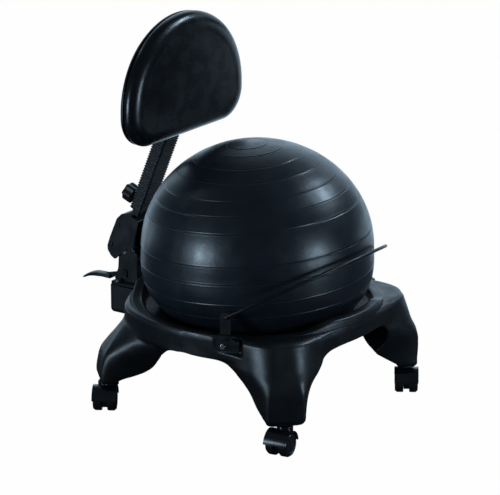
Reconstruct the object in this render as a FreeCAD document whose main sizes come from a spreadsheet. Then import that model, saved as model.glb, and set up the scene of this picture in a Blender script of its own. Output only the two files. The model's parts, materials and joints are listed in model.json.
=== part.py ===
import FreeCAD, Part
import math
import os
from types import SimpleNamespace

V = FreeCAD.Vector
ACROSS = V(1, 0, 0)
BACK = V(0, 1, 0)
UP = V(0, 0, 1)

# Balance ball chair: an air-filled ball held in a moulded four-legged base on casters, with a
# wire bail over the ball and a back support on a tilting, sliding post behind it.
# Millimetres, Z up, floor at z = 0, ball axis at x = y = 0, the sitter faces -Y.

SIZES = {
    # ball
    "ball_radius": 240,
    "ball_half_height": 219,
    "ball_wall": 2,
    "plug_radius": 5,
    "seat_gap": 0.3,
    # base moulding
    "seat_angle": 52.34,
    "rim_low": 222,
    "rim_rise": 21,
    "rim_gap": 21.81,
    "rim_width": 24,
    "lip_rise": 18,
    "lip_half": 84,
    "lip_foot_half": 150,
    "skirt_drop": 49,
    "skirt_front_lift": 12,
    "base_wall": 5,
    "bowl_gap": 11.1,
    "leg_clear": 8,
    "leg_spread": 71,
    "front_ledge": 39,
    "rear_ledge": 4,
    "leg_foot_half": 42,
    "leg_flare": 83,
    "leg_corner": 17,
    "leg_top_round": 8,
    "leg_foot_round": 12,
    "rim_round": 2,
    "caster_inset": 14.8,
    # casters
    "heading_front_right": 188,
    "heading_front_left": 213,
    "heading_rear_right": 211,
    "heading_rear_left": 200,
    "caster_trail": 19,
    "wheel_radius": 25,
    "wheel_width": 19,
    "wheel_gap": 12.4,
    "axle_radius": 3,
    "stem_radius": 5.5,
    "stem_length": 60,
    "socket_radius": 8,
    "socket_length": 42,
    "hood_wall": 2.8,
    "hood_neck": 16.5,
    "running_gap": 0.05,
    "side_gap": 0.4,
    # bail and its clamps
    "bail_wire_radius": 3.25,
    "bail_ahead": 1.39,
    "bail_rise": 38,
    "bail_slope": 30,
    "bail_front_spare": 5,
    "bail_side_spare": 85,
    "bail_gap": 62,
    "bail_front_half": 45,
    "bail_bend": 9,
    "clamp_angle": 20,
    "clamp_thick": 3,
    "clamp_drop": 30,
    "clamp_tab_half": 11,
    "clamp_foot_front": 34,
    "clamp_foot_back": 14,
    "clamp_screw_radius": 3,
    # rear box and plate
    "box_drop": 24,
    "box_height": 61,
    "box_spare": 1,
    "box_wall": 5,
    "box_edge": 10,
    "box_shoulder": 8,
    "plate_margin": 9,
    "plate_thick": 5,
    "bolt_radius": 4,
    "bolt_clear": 10,
    "bolt_inset": 12,
    # back support mechanism
    "post_lean": 22.4,
    "post_ahead": 22.5,
    "post_rise": 82,
    "pivot_inset": 33,
    "pivot_radius": 5,
    "neck_half": 28,
    "neck_sheet": 4,
    "neck_ahead": 30,
    "neck_depth": 54,
    "cover_gap": 1.5,
    "cover_wall": 3.5,
    "bracket_gap": 3,
    "bracket_sheet": 4,
    "quadrant_radius": 30,
    "tongue_half": 16,
    "bar_half": 20,
    "bar_thick": 6,
    "bar_rise": 155,
    "bend_rise": 22,
    "bar_bend_radius": 25,
    "tongue_length": 112,
    "collar_length": 66,
    "collar_wall": 1.3,
    "bellows_start": 13,
    "bellows_length": 210,
    "bellows_pitch": 6,
    "bellows_rib": 1.8,
    "bellows_wall": 1.3,
    "bellows_spare": 2.5,
    "bellows_back": 1.5,
    "knob_radius": 20,
    "knob_length": 24,
    "knob_lobes": 6,
    "knob_along": 29,
    "stud_radius": 4,
    # lever
    "lever_behind": 1,
    "lever_rise": 15.9,
    "cam_radius": 15.5,
    "cam_gap": 3.3,
    "lever_pin_radius": 4,
    "lever_arm_thick": 3.6,
    "lever_arm_reach": 32,
    "lever_handle_length": 72,
    "lever_handle_half": 12,
    "lever_handle_thick": 9,
    # backrest
    "pad_half": 195,
    "pad_rise": 195,
    "pad_height": 255,
    "pad_depth": 32,
    "pad_gap": 0.3,
    "pad_corner": 68,
    "pad_side_inset": 23,
    "pad_blend": 55,
    "board_thick": 8,
    "board_inset": 12,
    "shell_thick": 9.2,
    "panel_screw_radius": 2.5,
}

# Each leg station: share of the leg's height, share of its outward sweep, share of its flare.
FRONT_STATIONS = (
    (0.0, 1.0, 0.0),
    (0.12, 1.006, 0.12),
    (0.26, 1.05, 0.25),
    (0.39, 1.075, 0.46),
    (0.52, 0.96, 0.76),
    (0.66, 0.64, 1.0),
    (0.83, 0.36, 1.0),
    (0.96, 0.12, 1.0),
    (1.0, 0.0, 0.97),
)
REAR_STATIONS = (
    (0.0, 1.0, 0.0),
    (0.12, 1.01, 0.12),
    (0.26, 0.96, 0.25),
    (0.39, 0.875, 0.46),
    (0.52, 0.67, 0.76),
    (0.66, 0.39, 1.0),
    (0.83, 0.1, 1.0),
    (0.96, 0.02, 1.0),
    (1.0, 0.0, 0.97),
)
# Underside of each leg: share of the way from the root to the caster, share of the leg's height.
ARCH_STATIONS = ((0.544, 0.1), (0.312, 0.287), (0.183, 0.452), (0.088, 0.626), (0.002, 0.8))
CORNERS = {
    "front_right": (-1, -1),
    "front_left": (1, -1),
    "rear_right": (-1, 1),
    "rear_left": (1, 1),
}
SIDES = {"right": -1, "left": 1}

doc = FreeCAD.newDocument("BalanceBallChair")
sheet = doc.addObject("Spreadsheet::Sheet", "Sizes")
for row, (alias, number) in enumerate(SIZES.items(), start=1):
    sheet.set(f"A{row}", alias)
    sheet.set(f"B{row}", str(number))
    sheet.setAlias(f"B{row}", alias)
doc.recompute()
S = SimpleNamespace(**{alias: float(sheet.get(alias)) for alias in SIZES})
NODES = {}


def sine(degrees):
    return math.sin(math.radians(degrees))


def cosine(degrees):
    return math.cos(math.radians(degrees))


def settle_base():
    """Places that follow from the sheet: the legs stand on the casters and the ball in the bowl."""
    S.leg_bottom = 2 * S.wheel_radius + S.leg_clear
    S.seat_ring = S.ball_radius * sine(S.seat_angle)
    S.ball_centre = S.rim_low - S.rim_rise + S.seat_gap + S.ball_half_height * cosine(S.seat_angle)
    S.bowl_floor = S.ball_centre - S.ball_half_height - S.bowl_gap
    S.rim_high = S.rim_low + S.lip_rise
    S.rim_inner = ball_radius_at(S.rim_high) + S.rim_gap
    S.rim_outer = S.rim_inner + S.rim_width
    S.skirt_bottom = S.rim_low - S.skirt_drop
    S.leg_reach = S.rim_outer + S.leg_spread
    S.front_shoulder = S.rim_outer + S.front_ledge
    S.rear_shoulder = S.rim_outer + S.rear_ledge
    S.leg_root_half = S.leg_foot_half + S.leg_flare
    S.caster_offset = (S.leg_reach - S.caster_inset) / math.sqrt(2)
    S.bail_pivot_back = -(S.rim_outer * sine(S.clamp_angle) + S.bail_ahead)
    S.bail_pivot_height = S.rim_low + S.bail_rise
    S.bail_front_radius = S.ball_radius + S.bail_front_spare
    S.bail_side_radius = S.ball_radius + S.bail_side_spare
    S.bail_front_reach = S.ball_radius + S.bail_gap


def settle_back():
    """Places that follow from the rim: box, neck, lever, tilt pivot, post and backrest in turn."""
    S.neck_front = S.rim_outer + S.neck_ahead
    S.neck_rear = S.neck_front + S.neck_depth
    S.bolt_half_across = S.neck_half + S.bolt_clear
    S.plate_half = S.bolt_half_across + S.plate_margin
    S.box_half = S.plate_half + S.box_shoulder
    S.box_rear = S.neck_rear + S.box_spare
    S.box_top = S.rim_low - S.box_drop
    S.box_bottom = S.box_top - S.box_height
    S.plate_top = S.box_top + S.plate_thick + 2 * S.running_gap
    S.cover_half = S.neck_half + S.cover_gap + S.cover_wall
    S.bracket_half = S.neck_half - S.neck_sheet - S.bracket_gap
    S.lever_height = S.plate_top + S.lever_rise
    S.pivot_height = S.lever_height + 1.4 * S.cam_radius + S.cam_gap + 0.8 * S.quadrant_radius
    S.pivot_back = S.neck_front + S.pivot_inset
    S.lever_back = S.pivot_back + S.lever_behind
    S.lever_handle_start = S.lever_back + S.lever_arm_reach
    S.post_back = S.pivot_back - S.post_ahead
    S.post_height = S.pivot_height + S.post_rise
    S.pad_bottom = S.post_height + S.pad_rise
    S.pad_top = S.pad_bottom + S.pad_height
    S.pad_side_radius = S.pad_half - S.pad_side_inset
    S.bar_bend_height = S.pad_bottom + S.bend_rise
    S.bar_top = S.pad_bottom + S.bar_rise
    S.pad_rear = bar_bend().y - S.bar_thick / 2 - S.pad_gap - S.shell_thick - S.seat_gap
    S.pad_front = S.pad_rear - S.pad_depth


def node(label, part):
    """Names a finished sub-part and keeps it for the checks and the export."""
    part.Label = label
    NODES[label] = part
    return part


def fitting(points, radii):
    """Corner radii, each cut down where two neighbouring arcs need more than their shared line."""
    count = len(points)
    reaches = []
    for i, radius in enumerate(radii):
        before = points[i - 1] - points[i]
        after = points[(i + 1) % count] - points[i]
        reaches.append(radius / math.tan(before.getAngle(after) / 2))
    shares = [1.0] * count
    for i in range(count):
        after = (i + 1) % count
        needed = reaches[i] + reaches[after]
        room = 0.999 * (points[after] - points[i]).Length
        if needed > room:
            shares[i] = min(shares[i], room / needed)
            shares[after] = min(shares[after], room / needed)
    return [radius * share for radius, share in zip(radii, shares)]


def rounded(points, radii, closed=True):
    """Lines between the points, with a tangent arc of the given radius at each corner."""
    count = len(points)
    radii = fitting(points, radii)
    starts, ends, arcs = [], [], []
    for i, (point, radius) in enumerate(zip(points, radii)):
        if radius <= 0 or (not closed and i in (0, count - 1)):
            starts.append(point)
            ends.append(point)
            arcs.append(None)
            continue
        before = (points[i - 1] - point).normalize()
        after = (points[(i + 1) % count] - point).normalize()
        half = before.getAngle(after) / 2
        reach = radius / math.tan(half)
        middle = (before + after).normalize() * (radius / math.sin(half) - radius)
        starts.append(point + before * reach)
        ends.append(point + after * reach)
        arcs.append(Part.Arc(starts[-1], point + middle, ends[-1]))
    edges = []
    for i in range(count):
        if arcs[i]:
            edges.append(arcs[i])
        if closed or i < count - 1:
            edges.append(Part.LineSegment(ends[i], starts[(i + 1) % count]))
    return edges


def polygon(pairs, radii=None):
    """Closed outline in a sketch plane from (x, y) pairs."""
    points = [V(x, y, 0) for x, y in pairs]
    return rounded(points, radii or [0] * len(points))


def wire(edges):
    return Part.Wire([edge.toShape() for edge in edges])


def add_body(name):
    return doc.addObject("PartDesign::Body", name)


def add_sketch(body, plane, edges=()):
    sketch = body.newObject("Sketcher::SketchObject", body.Name + "_outline")
    support = [item for item in body.Origin.OriginFeatures if item.Role == plane]
    sketch.AttachmentSupport = [(support[0], "")]
    sketch.MapMode = "FlatFace"
    for edge in edges:
        sketch.addGeometry(edge, False)
    return sketch


def padded(name, plane, edges, length, middle=False, placement=None):
    """A body with one pad, whose length is a formula on the sheet."""
    body = add_body(name)
    sketch = add_sketch(body, plane, edges)
    pad = body.newObject("PartDesign::Pad", name + "_pad")
    pad.Profile = sketch
    pad.setExpression("Length", length)
    pad.Midplane = middle
    body.Tip = pad
    if placement:
        body.Placement = placement
    return body


def turned(name, edges, placement=None):
    """A body with one full revolution of an X-Z outline about Z."""
    body = add_body(name)
    sketch = add_sketch(body, "XZ_Plane", edges)
    turn = body.newObject("PartDesign::Revolution", name + "_turn")
    turn.Profile = sketch
    turn.ReferenceAxis = (sketch, ["V_Axis"])
    turn.Angle = 360
    body.Tip = turn
    if placement:
        body.Placement = placement
    return body


def cylinder(name, radius, height, base, axis=UP):
    """A cylinder whose radius and height are formulas on the sheet."""
    part = doc.addObject("Part::Cylinder", name)
    part.setExpression("Radius", radius)
    part.setExpression("Height", height)
    part.Placement = FreeCAD.Placement(base, FreeCAD.Rotation(UP, axis))
    return part


def block(name, low, high):
    part = doc.addObject("Part::Box", name)
    part.Length, part.Width, part.Height = high.x - low.x, high.y - low.y, high.z - low.z
    part.Placement.Base = low
    return part


def joined(name, parts):
    fuse = doc.addObject("Part::MultiFuse", name)
    fuse.Shapes = parts
    return fuse


def cut(name, base, tools):
    """The base with one or more tools taken away."""
    part = doc.addObject("Part::Cut", name)
    part.Base = base
    part.Tool = tools[0] if len(tools) == 1 else joined(name + "_tools", tools)
    return part


def group(name, parts):
    """Separate solids kept together under one name."""
    doc.recompute()
    compound = doc.addObject("Part::Compound", name)
    compound.Links = parts
    return compound


def feature(name, shape, placement=None):
    part = doc.addObject("Part::Feature", name)
    part.Shape = shape
    if placement:
        part.Placement = placement
    return part


def solid_of_turn(pairs, radii=None):
    """A solid of revolution about Z from (radius, height) pairs, with rounded corners where asked."""
    points = [V(r, 0, z) for r, z in pairs]
    outline = wire(rounded(points, radii or [0] * len(points)))
    return Part.Face(outline).revolve(V(0, 0, 0), UP, 360)


# Ball

def ball_radius_at(height):
    """Level radius of the ball at a height over the floor."""
    return S.ball_radius * math.sqrt(1 - ((height - S.ball_centre) / S.ball_half_height) ** 2)


def ball_underside_at(radius):
    """Height of the ball's lower surface at a level radius."""
    return S.ball_centre - S.ball_half_height * math.sqrt(1 - (radius / S.ball_radius) ** 2)


def make_ball():
    """Hollow ball, flattened a little by its own weight, with a plug in its underside."""
    skins = []
    for name, wall in (("ball_outside", "0"), ("ball_inside", "Sizes.ball_wall")):
        skin = doc.addObject("Part::Ellipsoid", name)
        skin.setExpression("Radius1", "Sizes.ball_half_height - " + wall)
        skin.setExpression("Radius2", "Sizes.ball_radius - " + wall)
        skin.setExpression("Radius3", "Sizes.ball_radius - " + wall)
        skin.Angle1 = -90
        skin.Angle2 = 90
        skin.Angle3 = 360
        skin.Placement.Base = V(0, 0, S.ball_centre)
        skins.append(skin)
    hole = cylinder("ball_plug_hole", "Sizes.plug_radius", "Sizes.ball_half_height",
                    V(0, 0, S.ball_centre - 1.5 * S.ball_half_height))
    node("ball", cut("ball", skins[0], [skins[1], hole]))
    bottom = S.ball_centre - S.ball_half_height
    flange = S.plug_radius + 3
    stem = S.plug_radius - S.running_gap
    outline = polygon(
        ((0, bottom - 1.8), (flange, bottom - 1.8), (flange, bottom - 0.3), (stem, bottom - 0.3),
         (stem, bottom + 7), (0, bottom + 7)))
    node("ball_plug", turned("ball_plug", outline))


# Base

def bowl_top():
    """Upper surface of the bowl, from the centre out to the rim, as (radius, height) pairs."""
    seat = ball_underside_at(S.seat_ring) - S.seat_gap
    floor = S.bowl_floor
    depth = seat - floor
    return [
        (0, floor),
        (S.seat_ring * 0.34, floor + depth * 0.1),
        (S.seat_ring * 0.64, floor + depth * 0.35),
        (S.seat_ring * 0.87, floor + depth * 0.74),
        (S.seat_ring - 4, seat - 6),
        (S.seat_ring, seat),
        (S.seat_ring + 7, seat),
        (S.rim_inner - 8, seat + 3),
        (S.rim_inner, S.rim_low - 4),
    ]


def leg_reach_at(share, shoulder):
    return shoulder + (S.leg_reach - shoulder) * share


def leg_loft(stations, shoulder, low, high, inset, root):
    """Leg between two heights, swept outwards and flared inwards, with round outer corners."""
    wires = []
    for height, sweep, flare in stations:
        z = low + (high - low) * height
        reach = leg_reach_at(sweep, shoulder) - inset
        outer = S.leg_foot_half + 4 * min(height, 1 - height) - inset
        inner = outer + S.leg_flare * flare
        points = [V(root, -inner, z), V(reach, -outer, z), V(reach, outer, z), V(root, inner, z)]
        corner = S.leg_corner - inset / 2
        wires.append(wire(rounded(points, [0, corner, corner, 0])))
    return Part.makeLoft(wires, True, False)


def make_leg(stations, shoulder):
    """One hollow leg along +X: open inwards, with a boss for the caster socket."""
    root = S.seat_ring + 12
    outer = leg_loft(stations, shoulder, S.leg_bottom, S.rim_low, 0, root)
    outer = outer.makeFillet(S.leg_top_round, [
        edge for edge in outer.Edges
        if edge.BoundBox.ZMin > S.rim_low - 0.5 and edge.BoundBox.XMax > root + 1])
    outer = outer.makeFillet(S.leg_foot_round, [
        edge for edge in outer.Edges
        if edge.BoundBox.ZMax < S.leg_bottom + 0.5 and edge.BoundBox.XMax > root + 1])
    inner = leg_loft(stations, shoulder, S.leg_bottom + S.base_wall, S.rim_low - S.base_wall,
                     S.base_wall, root - 10)
    axis = S.caster_offset * math.sqrt(2)
    foot = S.leg_bottom
    span, rise = axis - root, S.skirt_bottom - foot
    heel = axis - S.socket_radius - 12
    arch = [V(root - 30, 0, 0), V(heel, 0, 0), V(heel, 0, foot)]
    arch += [V(root + span * along, 0, foot + rise * up) for along, up in ARCH_STATIONS]
    arch += [V(root - 14, 0, S.skirt_bottom - 8), V(root - 30, 0, S.skirt_bottom - 4)]
    tool = Part.Face(wire(rounded(arch, [0, 0, 4, 60, 40, 30, 30, 30, 0, 0])))
    tool.translate(V(0, -S.leg_root_half * 2, 0))
    tool = tool.extrude(V(0, S.leg_root_half * 4, 0))
    leg = outer.cut(tool).cut(inner)
    boss_top = S.leg_bottom + S.socket_length + 4
    boss = Part.makeCylinder(S.socket_radius + 4, boss_top - S.leg_bottom, V(axis, 0, S.leg_bottom))
    return leg.fuse(boss)


def make_base():
    """One moulding: bowl, scalloped rim, skirt and four legs."""
    wall = S.base_wall
    top = bowl_top()
    under = [(max(r - 1.5, 0), z - wall) for r, z in reversed(top[:-1])]
    ring = top + [
        (S.rim_inner, S.rim_low), (S.rim_outer, S.rim_low), (S.rim_outer - 2, S.skirt_bottom),
        (S.rim_outer - 2 - wall, S.skirt_bottom), (S.rim_outer - wall, S.rim_low - wall),
        (S.rim_inner + 2, S.rim_low - wall), (S.rim_inner + 2, S.rim_low - 3 * wall),
    ] + under
    soft = S.rim_round
    plain = len(top)
    bowl = solid_of_turn(ring, [0] * plain + [0, soft, soft, 0] + [0] * (len(ring) - plain - 4))
    # Between the front legs the skirt is shallower.
    low_front = S.skirt_bottom + S.skirt_front_lift
    bowl = bowl.cut(Part.makeBox(2.4 * S.rim_outer, S.rim_outer, low_front,
                                 V(-1.2 * S.rim_outer, -1.46 * S.rim_outer, 0)))
    lip = solid_of_turn([
        (S.rim_inner, S.rim_low - wall / 2), (S.rim_outer, S.rim_low - wall / 2),
        (S.rim_outer, S.rim_high), (S.rim_inner, S.rim_high)], [0, 0, 2 * soft, 2 * soft])
    crest = [
        V(-S.lip_foot_half, 0, S.rim_low - wall), V(S.lip_foot_half, 0, S.rim_low - wall),
        V(S.lip_foot_half, 0, S.rim_low), V(S.lip_half, 0, S.rim_high + 1),
        V(-S.lip_half, 0, S.rim_high + 1), V(-S.lip_foot_half, 0, S.rim_low),
    ]
    wave = Part.Face(wire(rounded(crest, [0, 0, 0, 30, 30, 0])))
    wave.translate(V(0, -S.rim_outer * 1.2, 0))
    lip = lip.common(wave.extrude(V(0, S.rim_outer * 2.4, 0)))
    legs = []
    for across, back in CORNERS.values():
        if back < 0:
            leg = make_leg(FRONT_STATIONS, S.front_shoulder)
        else:
            leg = make_leg(REAR_STATIONS, S.rear_shoulder)
        turn = math.degrees(math.atan2(back, across))
        leg.rotate(V(0, 0, 0), UP, turn)
        legs.append(leg)
    hollow = solid_of_turn(top + [(S.rim_inner, S.rim_high + 60), (0, S.rim_high + 60)])
    shell = bowl.fuse([lip] + legs).cut(hollow)
    sockets = []
    for across, back in CORNERS.values():
        centre = V(across * S.caster_offset, back * S.caster_offset, S.leg_bottom - 1)
        sockets.append(Part.makeCylinder(S.socket_radius, S.socket_length + 1, centre))
    screws = []
    for side in SIDES.values():
        for along, height, radius in clamp_screws():
            start = clamp_point(side, S.rim_outer - 20, along, height)
            screws.append(Part.makeCylinder(radius, 40, start, clamp_out(side)))
        seat = [(-S.clamp_foot_back - 0.5, S.rim_low - S.clamp_drop - 0.5),
                (S.clamp_foot_front + 0.5, S.rim_low - S.clamp_drop - 0.5),
                (S.clamp_foot_front + 0.5, S.rim_low + 1), (-S.clamp_foot_back - 0.5, S.rim_low + 1)]
        screws.append(plate_on(side, S.rim_outer, 40, seat, [0] * 4))
    shell = shell.cut(sockets + screws)
    node("base_shell", feature("base_shell", shell.removeSplitter()))


# Casters

def caster_place(corner):
    """Caster frame: X along the trail, Y along the axle, origin on the stem's axis."""
    across, back = CORNERS[corner]
    base = V(across * S.caster_offset, back * S.caster_offset, 0)
    return FreeCAD.Placement(base, FreeCAD.Rotation(UP, getattr(S, "heading_" + corner)))


def make_hood():
    """Fork between the wheels, fender over them and the round neck above, in the caster frame."""
    centre = V(S.caster_trail, 0, S.wheel_radius)
    half = S.wheel_gap / 2 + S.wheel_width
    outer = S.wheel_radius + 1.3 + S.hood_wall
    fender = Part.makeCylinder(outer, 2 * half, centre - V(0, half, 0), BACK)
    neck_top = S.leg_bottom - S.side_gap
    neck = Part.makeCylinder(S.hood_neck, neck_top - S.wheel_radius, V(0, 0, S.wheel_radius))
    neck = neck.makeFillet(1.2, [edge for edge in neck.Edges if edge.BoundBox.ZMin > neck_top - 1])
    hood = fender.fuse(neck)
    web = S.wheel_gap / 2 - S.side_gap
    pockets = []
    for side in (-1, 1):
        start = centre + V(0, web if side > 0 else -web - 2 * half, 0)
        pockets.append(Part.makeCylinder(S.wheel_radius + 1.3, 2 * half, start, BACK))
    floor_cut = Part.makeBox(6 * outer, 2 * half + 2, S.wheel_radius + 13, V(-3 * outer, -half - 1, -10))
    keel = Part.makeBox(2 * outer, 2 * web, S.wheel_radius + 4,
                        V(S.caster_trail - outer, -web, S.wheel_radius * 0.45))
    disc = Part.makeCylinder(S.wheel_radius - 4, 2 * web, centre - V(0, web, 0), BACK)
    hood = hood.cut(pockets + [floor_cut]).fuse(disc.common(keel))
    axle = Part.makeCylinder(S.axle_radius + 0.02, 4 * half, centre - V(0, 2 * half, 0), BACK)
    bore_bottom = S.leg_bottom - (S.stem_length - S.socket_length + 2)
    bore = Part.makeCylinder(S.stem_radius + 0.02, 60, V(0, 0, bore_bottom))
    return hood.cut([axle, bore])


def make_casters():
    half = S.wheel_gap / 2 + S.wheel_width
    for corner in CORNERS:
        place = caster_place(corner)
        node(f"caster_hood_{corner}", feature(f"caster_hood_{corner}", make_hood(), place))
        top = S.leg_bottom + S.socket_length - 2
        low = top - S.stem_length
        r = S.stem_radius
        outline = polygon(((0, low), (r, low), (r, top - 5), (r - 1, top - 5), (r - 1, top - 3),
                           (r, top - 3), (r - 1.5, top), (0, top)))
        node(f"caster_stem_{corner}", turned(f"caster_stem_{corner}", outline, place))
        axle_place = place.multiply(
            FreeCAD.Placement(V(S.caster_trail, -half + 3, S.wheel_radius), FreeCAD.Rotation(UP, BACK)))
        axle = cylinder(f"caster_axle_{corner}", "Sizes.axle_radius",
                        "Sizes.wheel_gap + 2 * Sizes.wheel_width - 6", V(0, 0, 0))
        axle.Placement = axle_place
        node(f"caster_axle_{corner}", axle)
        for side, sign in SIDES.items():
            inner = S.wheel_gap / 2
            bore = S.axle_radius + S.running_gap
            outline = polygon(
                ((bore, inner), (10, inner), (12, inner + 2), (S.wheel_radius - 4, inner + 2),
                 (S.wheel_radius - 2.5, inner), (S.wheel_radius - 1, inner),
                 (S.wheel_radius, inner + 1.5),
                 (S.wheel_radius, half - 6), (S.wheel_radius - 3.2, half - 1.5),
                 (S.wheel_radius - 8, half - 1), (S.wheel_radius - 9, half - 2.2),
                 (8, half - 1.4), (0, half), (0, half - 2.6), (bore, half - 2.6)))
            turn = FreeCAD.Rotation(UP, BACK * sign)
            wheel_place = place.multiply(
                FreeCAD.Placement(V(S.caster_trail, 0, S.wheel_radius), turn))
            name = f"caster_wheel_{corner}_{side}"
            node(name, turned(name, outline, wheel_place))
    sleeves = []
    for corner in CORNERS:
        bore = S.stem_radius + S.running_gap
        outer = S.socket_radius - 0.02
        low = S.leg_bottom + 0.1
        high = S.leg_bottom + S.socket_length - 0.1
        outline = polygon(((bore, low), (outer, low), (outer, high), (bore, high)))
        sleeves.append(turned(f"socket_{corner}", outline, caster_place(corner)))
    node("caster_sockets", group("caster_sockets", sleeves))


# Bail and clamps

def bail_frame():
    """Bail plane: X across, Y up the slope to the front, origin over the ball axis."""
    slope = FreeCAD.Rotation(ACROSS, -S.bail_slope)
    flip = FreeCAD.Rotation(UP, 180)
    pivot = V(0, S.bail_pivot_back, S.bail_pivot_height)
    up_slope = slope.multVec(V(0, -1, 0))
    reach = -S.bail_pivot_back / cosine(S.bail_slope)
    return pivot - up_slope * reach, up_slope


def bail_half_width():
    """Half width of the hoop where its arms reach the pivots."""
    centre = S.bail_front_reach - S.bail_front_radius
    extra = S.bail_side_radius - S.bail_front_radius
    along = -S.bail_pivot_back / cosine(S.bail_slope)
    fall = along - centre + extra * cosine(S.bail_front_half)
    return math.sqrt(S.bail_side_radius ** 2 - fall ** 2) - extra * sine(S.bail_front_half)


def make_bail():
    """Wire hoop: a front arc, two flatter side arcs and a pin bent inwards at each end."""
    origin, up_slope = bail_frame()

    def at(across, along):
        return origin + ACROSS * across + up_slope * along

    centre = S.bail_front_reach - S.bail_front_radius
    extra = S.bail_side_radius - S.bail_front_radius
    half = S.bail_front_half
    side_centre = (-extra * sine(half), centre - extra * cosine(half))
    pin_line = -S.bail_pivot_back / cosine(S.bail_slope)
    # The arm meets the bend above the pivot line, and its tangent leans outwards there.
    rise = S.bail_bend * 1.05
    start_angle = math.degrees(math.asin((pin_line + rise - side_centre[1]) / S.bail_side_radius))
    joint_angle = 90 - half

    def side_point(angle, sign):
        return at(sign * (side_centre[0] + S.bail_side_radius * cosine(angle)),
                  side_centre[1] + S.bail_side_radius * sine(angle))

    def front_point(angle, sign):
        return at(sign * S.bail_front_radius * sine(angle),
                  centre + S.bail_front_radius * cosine(angle))

    edges = []
    pin_length = S.clamp_thick + 9
    ends = {}
    for sign in (-1, 1):
        arm_end = side_point(start_angle, sign)
        tangent = V(0, 0, 0) + ACROSS * (sign * sine(start_angle)) - up_slope * cosine(start_angle)
        inward = -ACROSS * sign
        corner = arm_end + tangent * (rise / cosine(start_angle))
        turn = tangent.getAngle(inward)
        reach = (corner - arm_end).Length
        radius = reach / math.tan(turn / 2)
        finish = corner + inward * reach
        middle = (inward - tangent).normalize() * (radius / math.cos(turn / 2) - radius)
        bend = Part.Arc(arm_end, corner + middle, finish)
        ends[sign] = (arm_end, bend, finish, finish + inward * pin_length)
    edges.append(Part.LineSegment(ends[-1][3], ends[-1][2]))
    edges.append(ends[-1][1])
    middle_angle = (start_angle + joint_angle) / 2
    edges.append(Part.Arc(ends[-1][0], side_point(middle_angle, -1), side_point(joint_angle, -1)))
    edges.append(Part.Arc(front_point(half, -1), front_point(0, 1), front_point(half, 1)))
    edges.append(Part.Arc(side_point(joint_angle, 1), side_point(middle_angle, 1), ends[1][0]))
    edges.append(ends[1][1])
    edges.append(Part.LineSegment(ends[1][2], ends[1][3]))
    path = wire(edges)
    section = Part.Wire([Part.makeCircle(S.bail_wire_radius, ends[-1][3], ACROSS)])
    shape = path.makePipeShell([section], True, False)
    node("bail_wire", feature("bail_wire", shape))
    length = sum(edge.length() for edge in edges)
    print("bail wire length", round(length), "volume ratio",
          round(shape.Volume / (math.pi * S.bail_wire_radius ** 2 * length), 4))
    caps = []
    for sign in (-1, 1):
        tip = ends[sign][3]
        inward = -ACROSS * sign
        start = tip - inward * 4.5
        cap = Part.makeCylinder(S.bail_wire_radius + 2.6, 6, start, inward)
        caps.append(cap.cut(Part.makeCylinder(S.bail_wire_radius + 0.02, 4.6, start, inward)))
    node("bail_caps", feature("bail_caps", Part.makeCompound(caps)))
    return abs(ends[1][2].x)


def clamp_out(side):
    """Outward level direction of a clamp, square to the rim where it sits."""
    return V(side * cosine(S.clamp_angle), -sine(S.clamp_angle), 0)


def clamp_point(side, radius, along, height):
    """A point beside the rim: along is measured towards the front, square to the radius."""
    forward = V(-side * sine(S.clamp_angle), -cosine(S.clamp_angle), 0)
    return clamp_out(side) * radius + forward * along + UP * height


def clamp_screws():
    """Where the clamp's fasteners go: along the rim, height and hole radius."""
    middle = S.rim_low - S.clamp_drop / 2
    return (
        (0, middle - 5, S.clamp_screw_radius + 0.05),
        (S.clamp_foot_front - 12, middle + 8, S.clamp_screw_radius + 0.05),
    )


def plate_on(side, radius, thick, outline, radii):
    """A plate square to a clamp's radius, from (along, height) pairs."""
    points = [clamp_point(side, radius, along, height) for along, height in outline]
    return Part.Face(wire(rounded(points, radii))).extrude(clamp_out(side) * thick)


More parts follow.
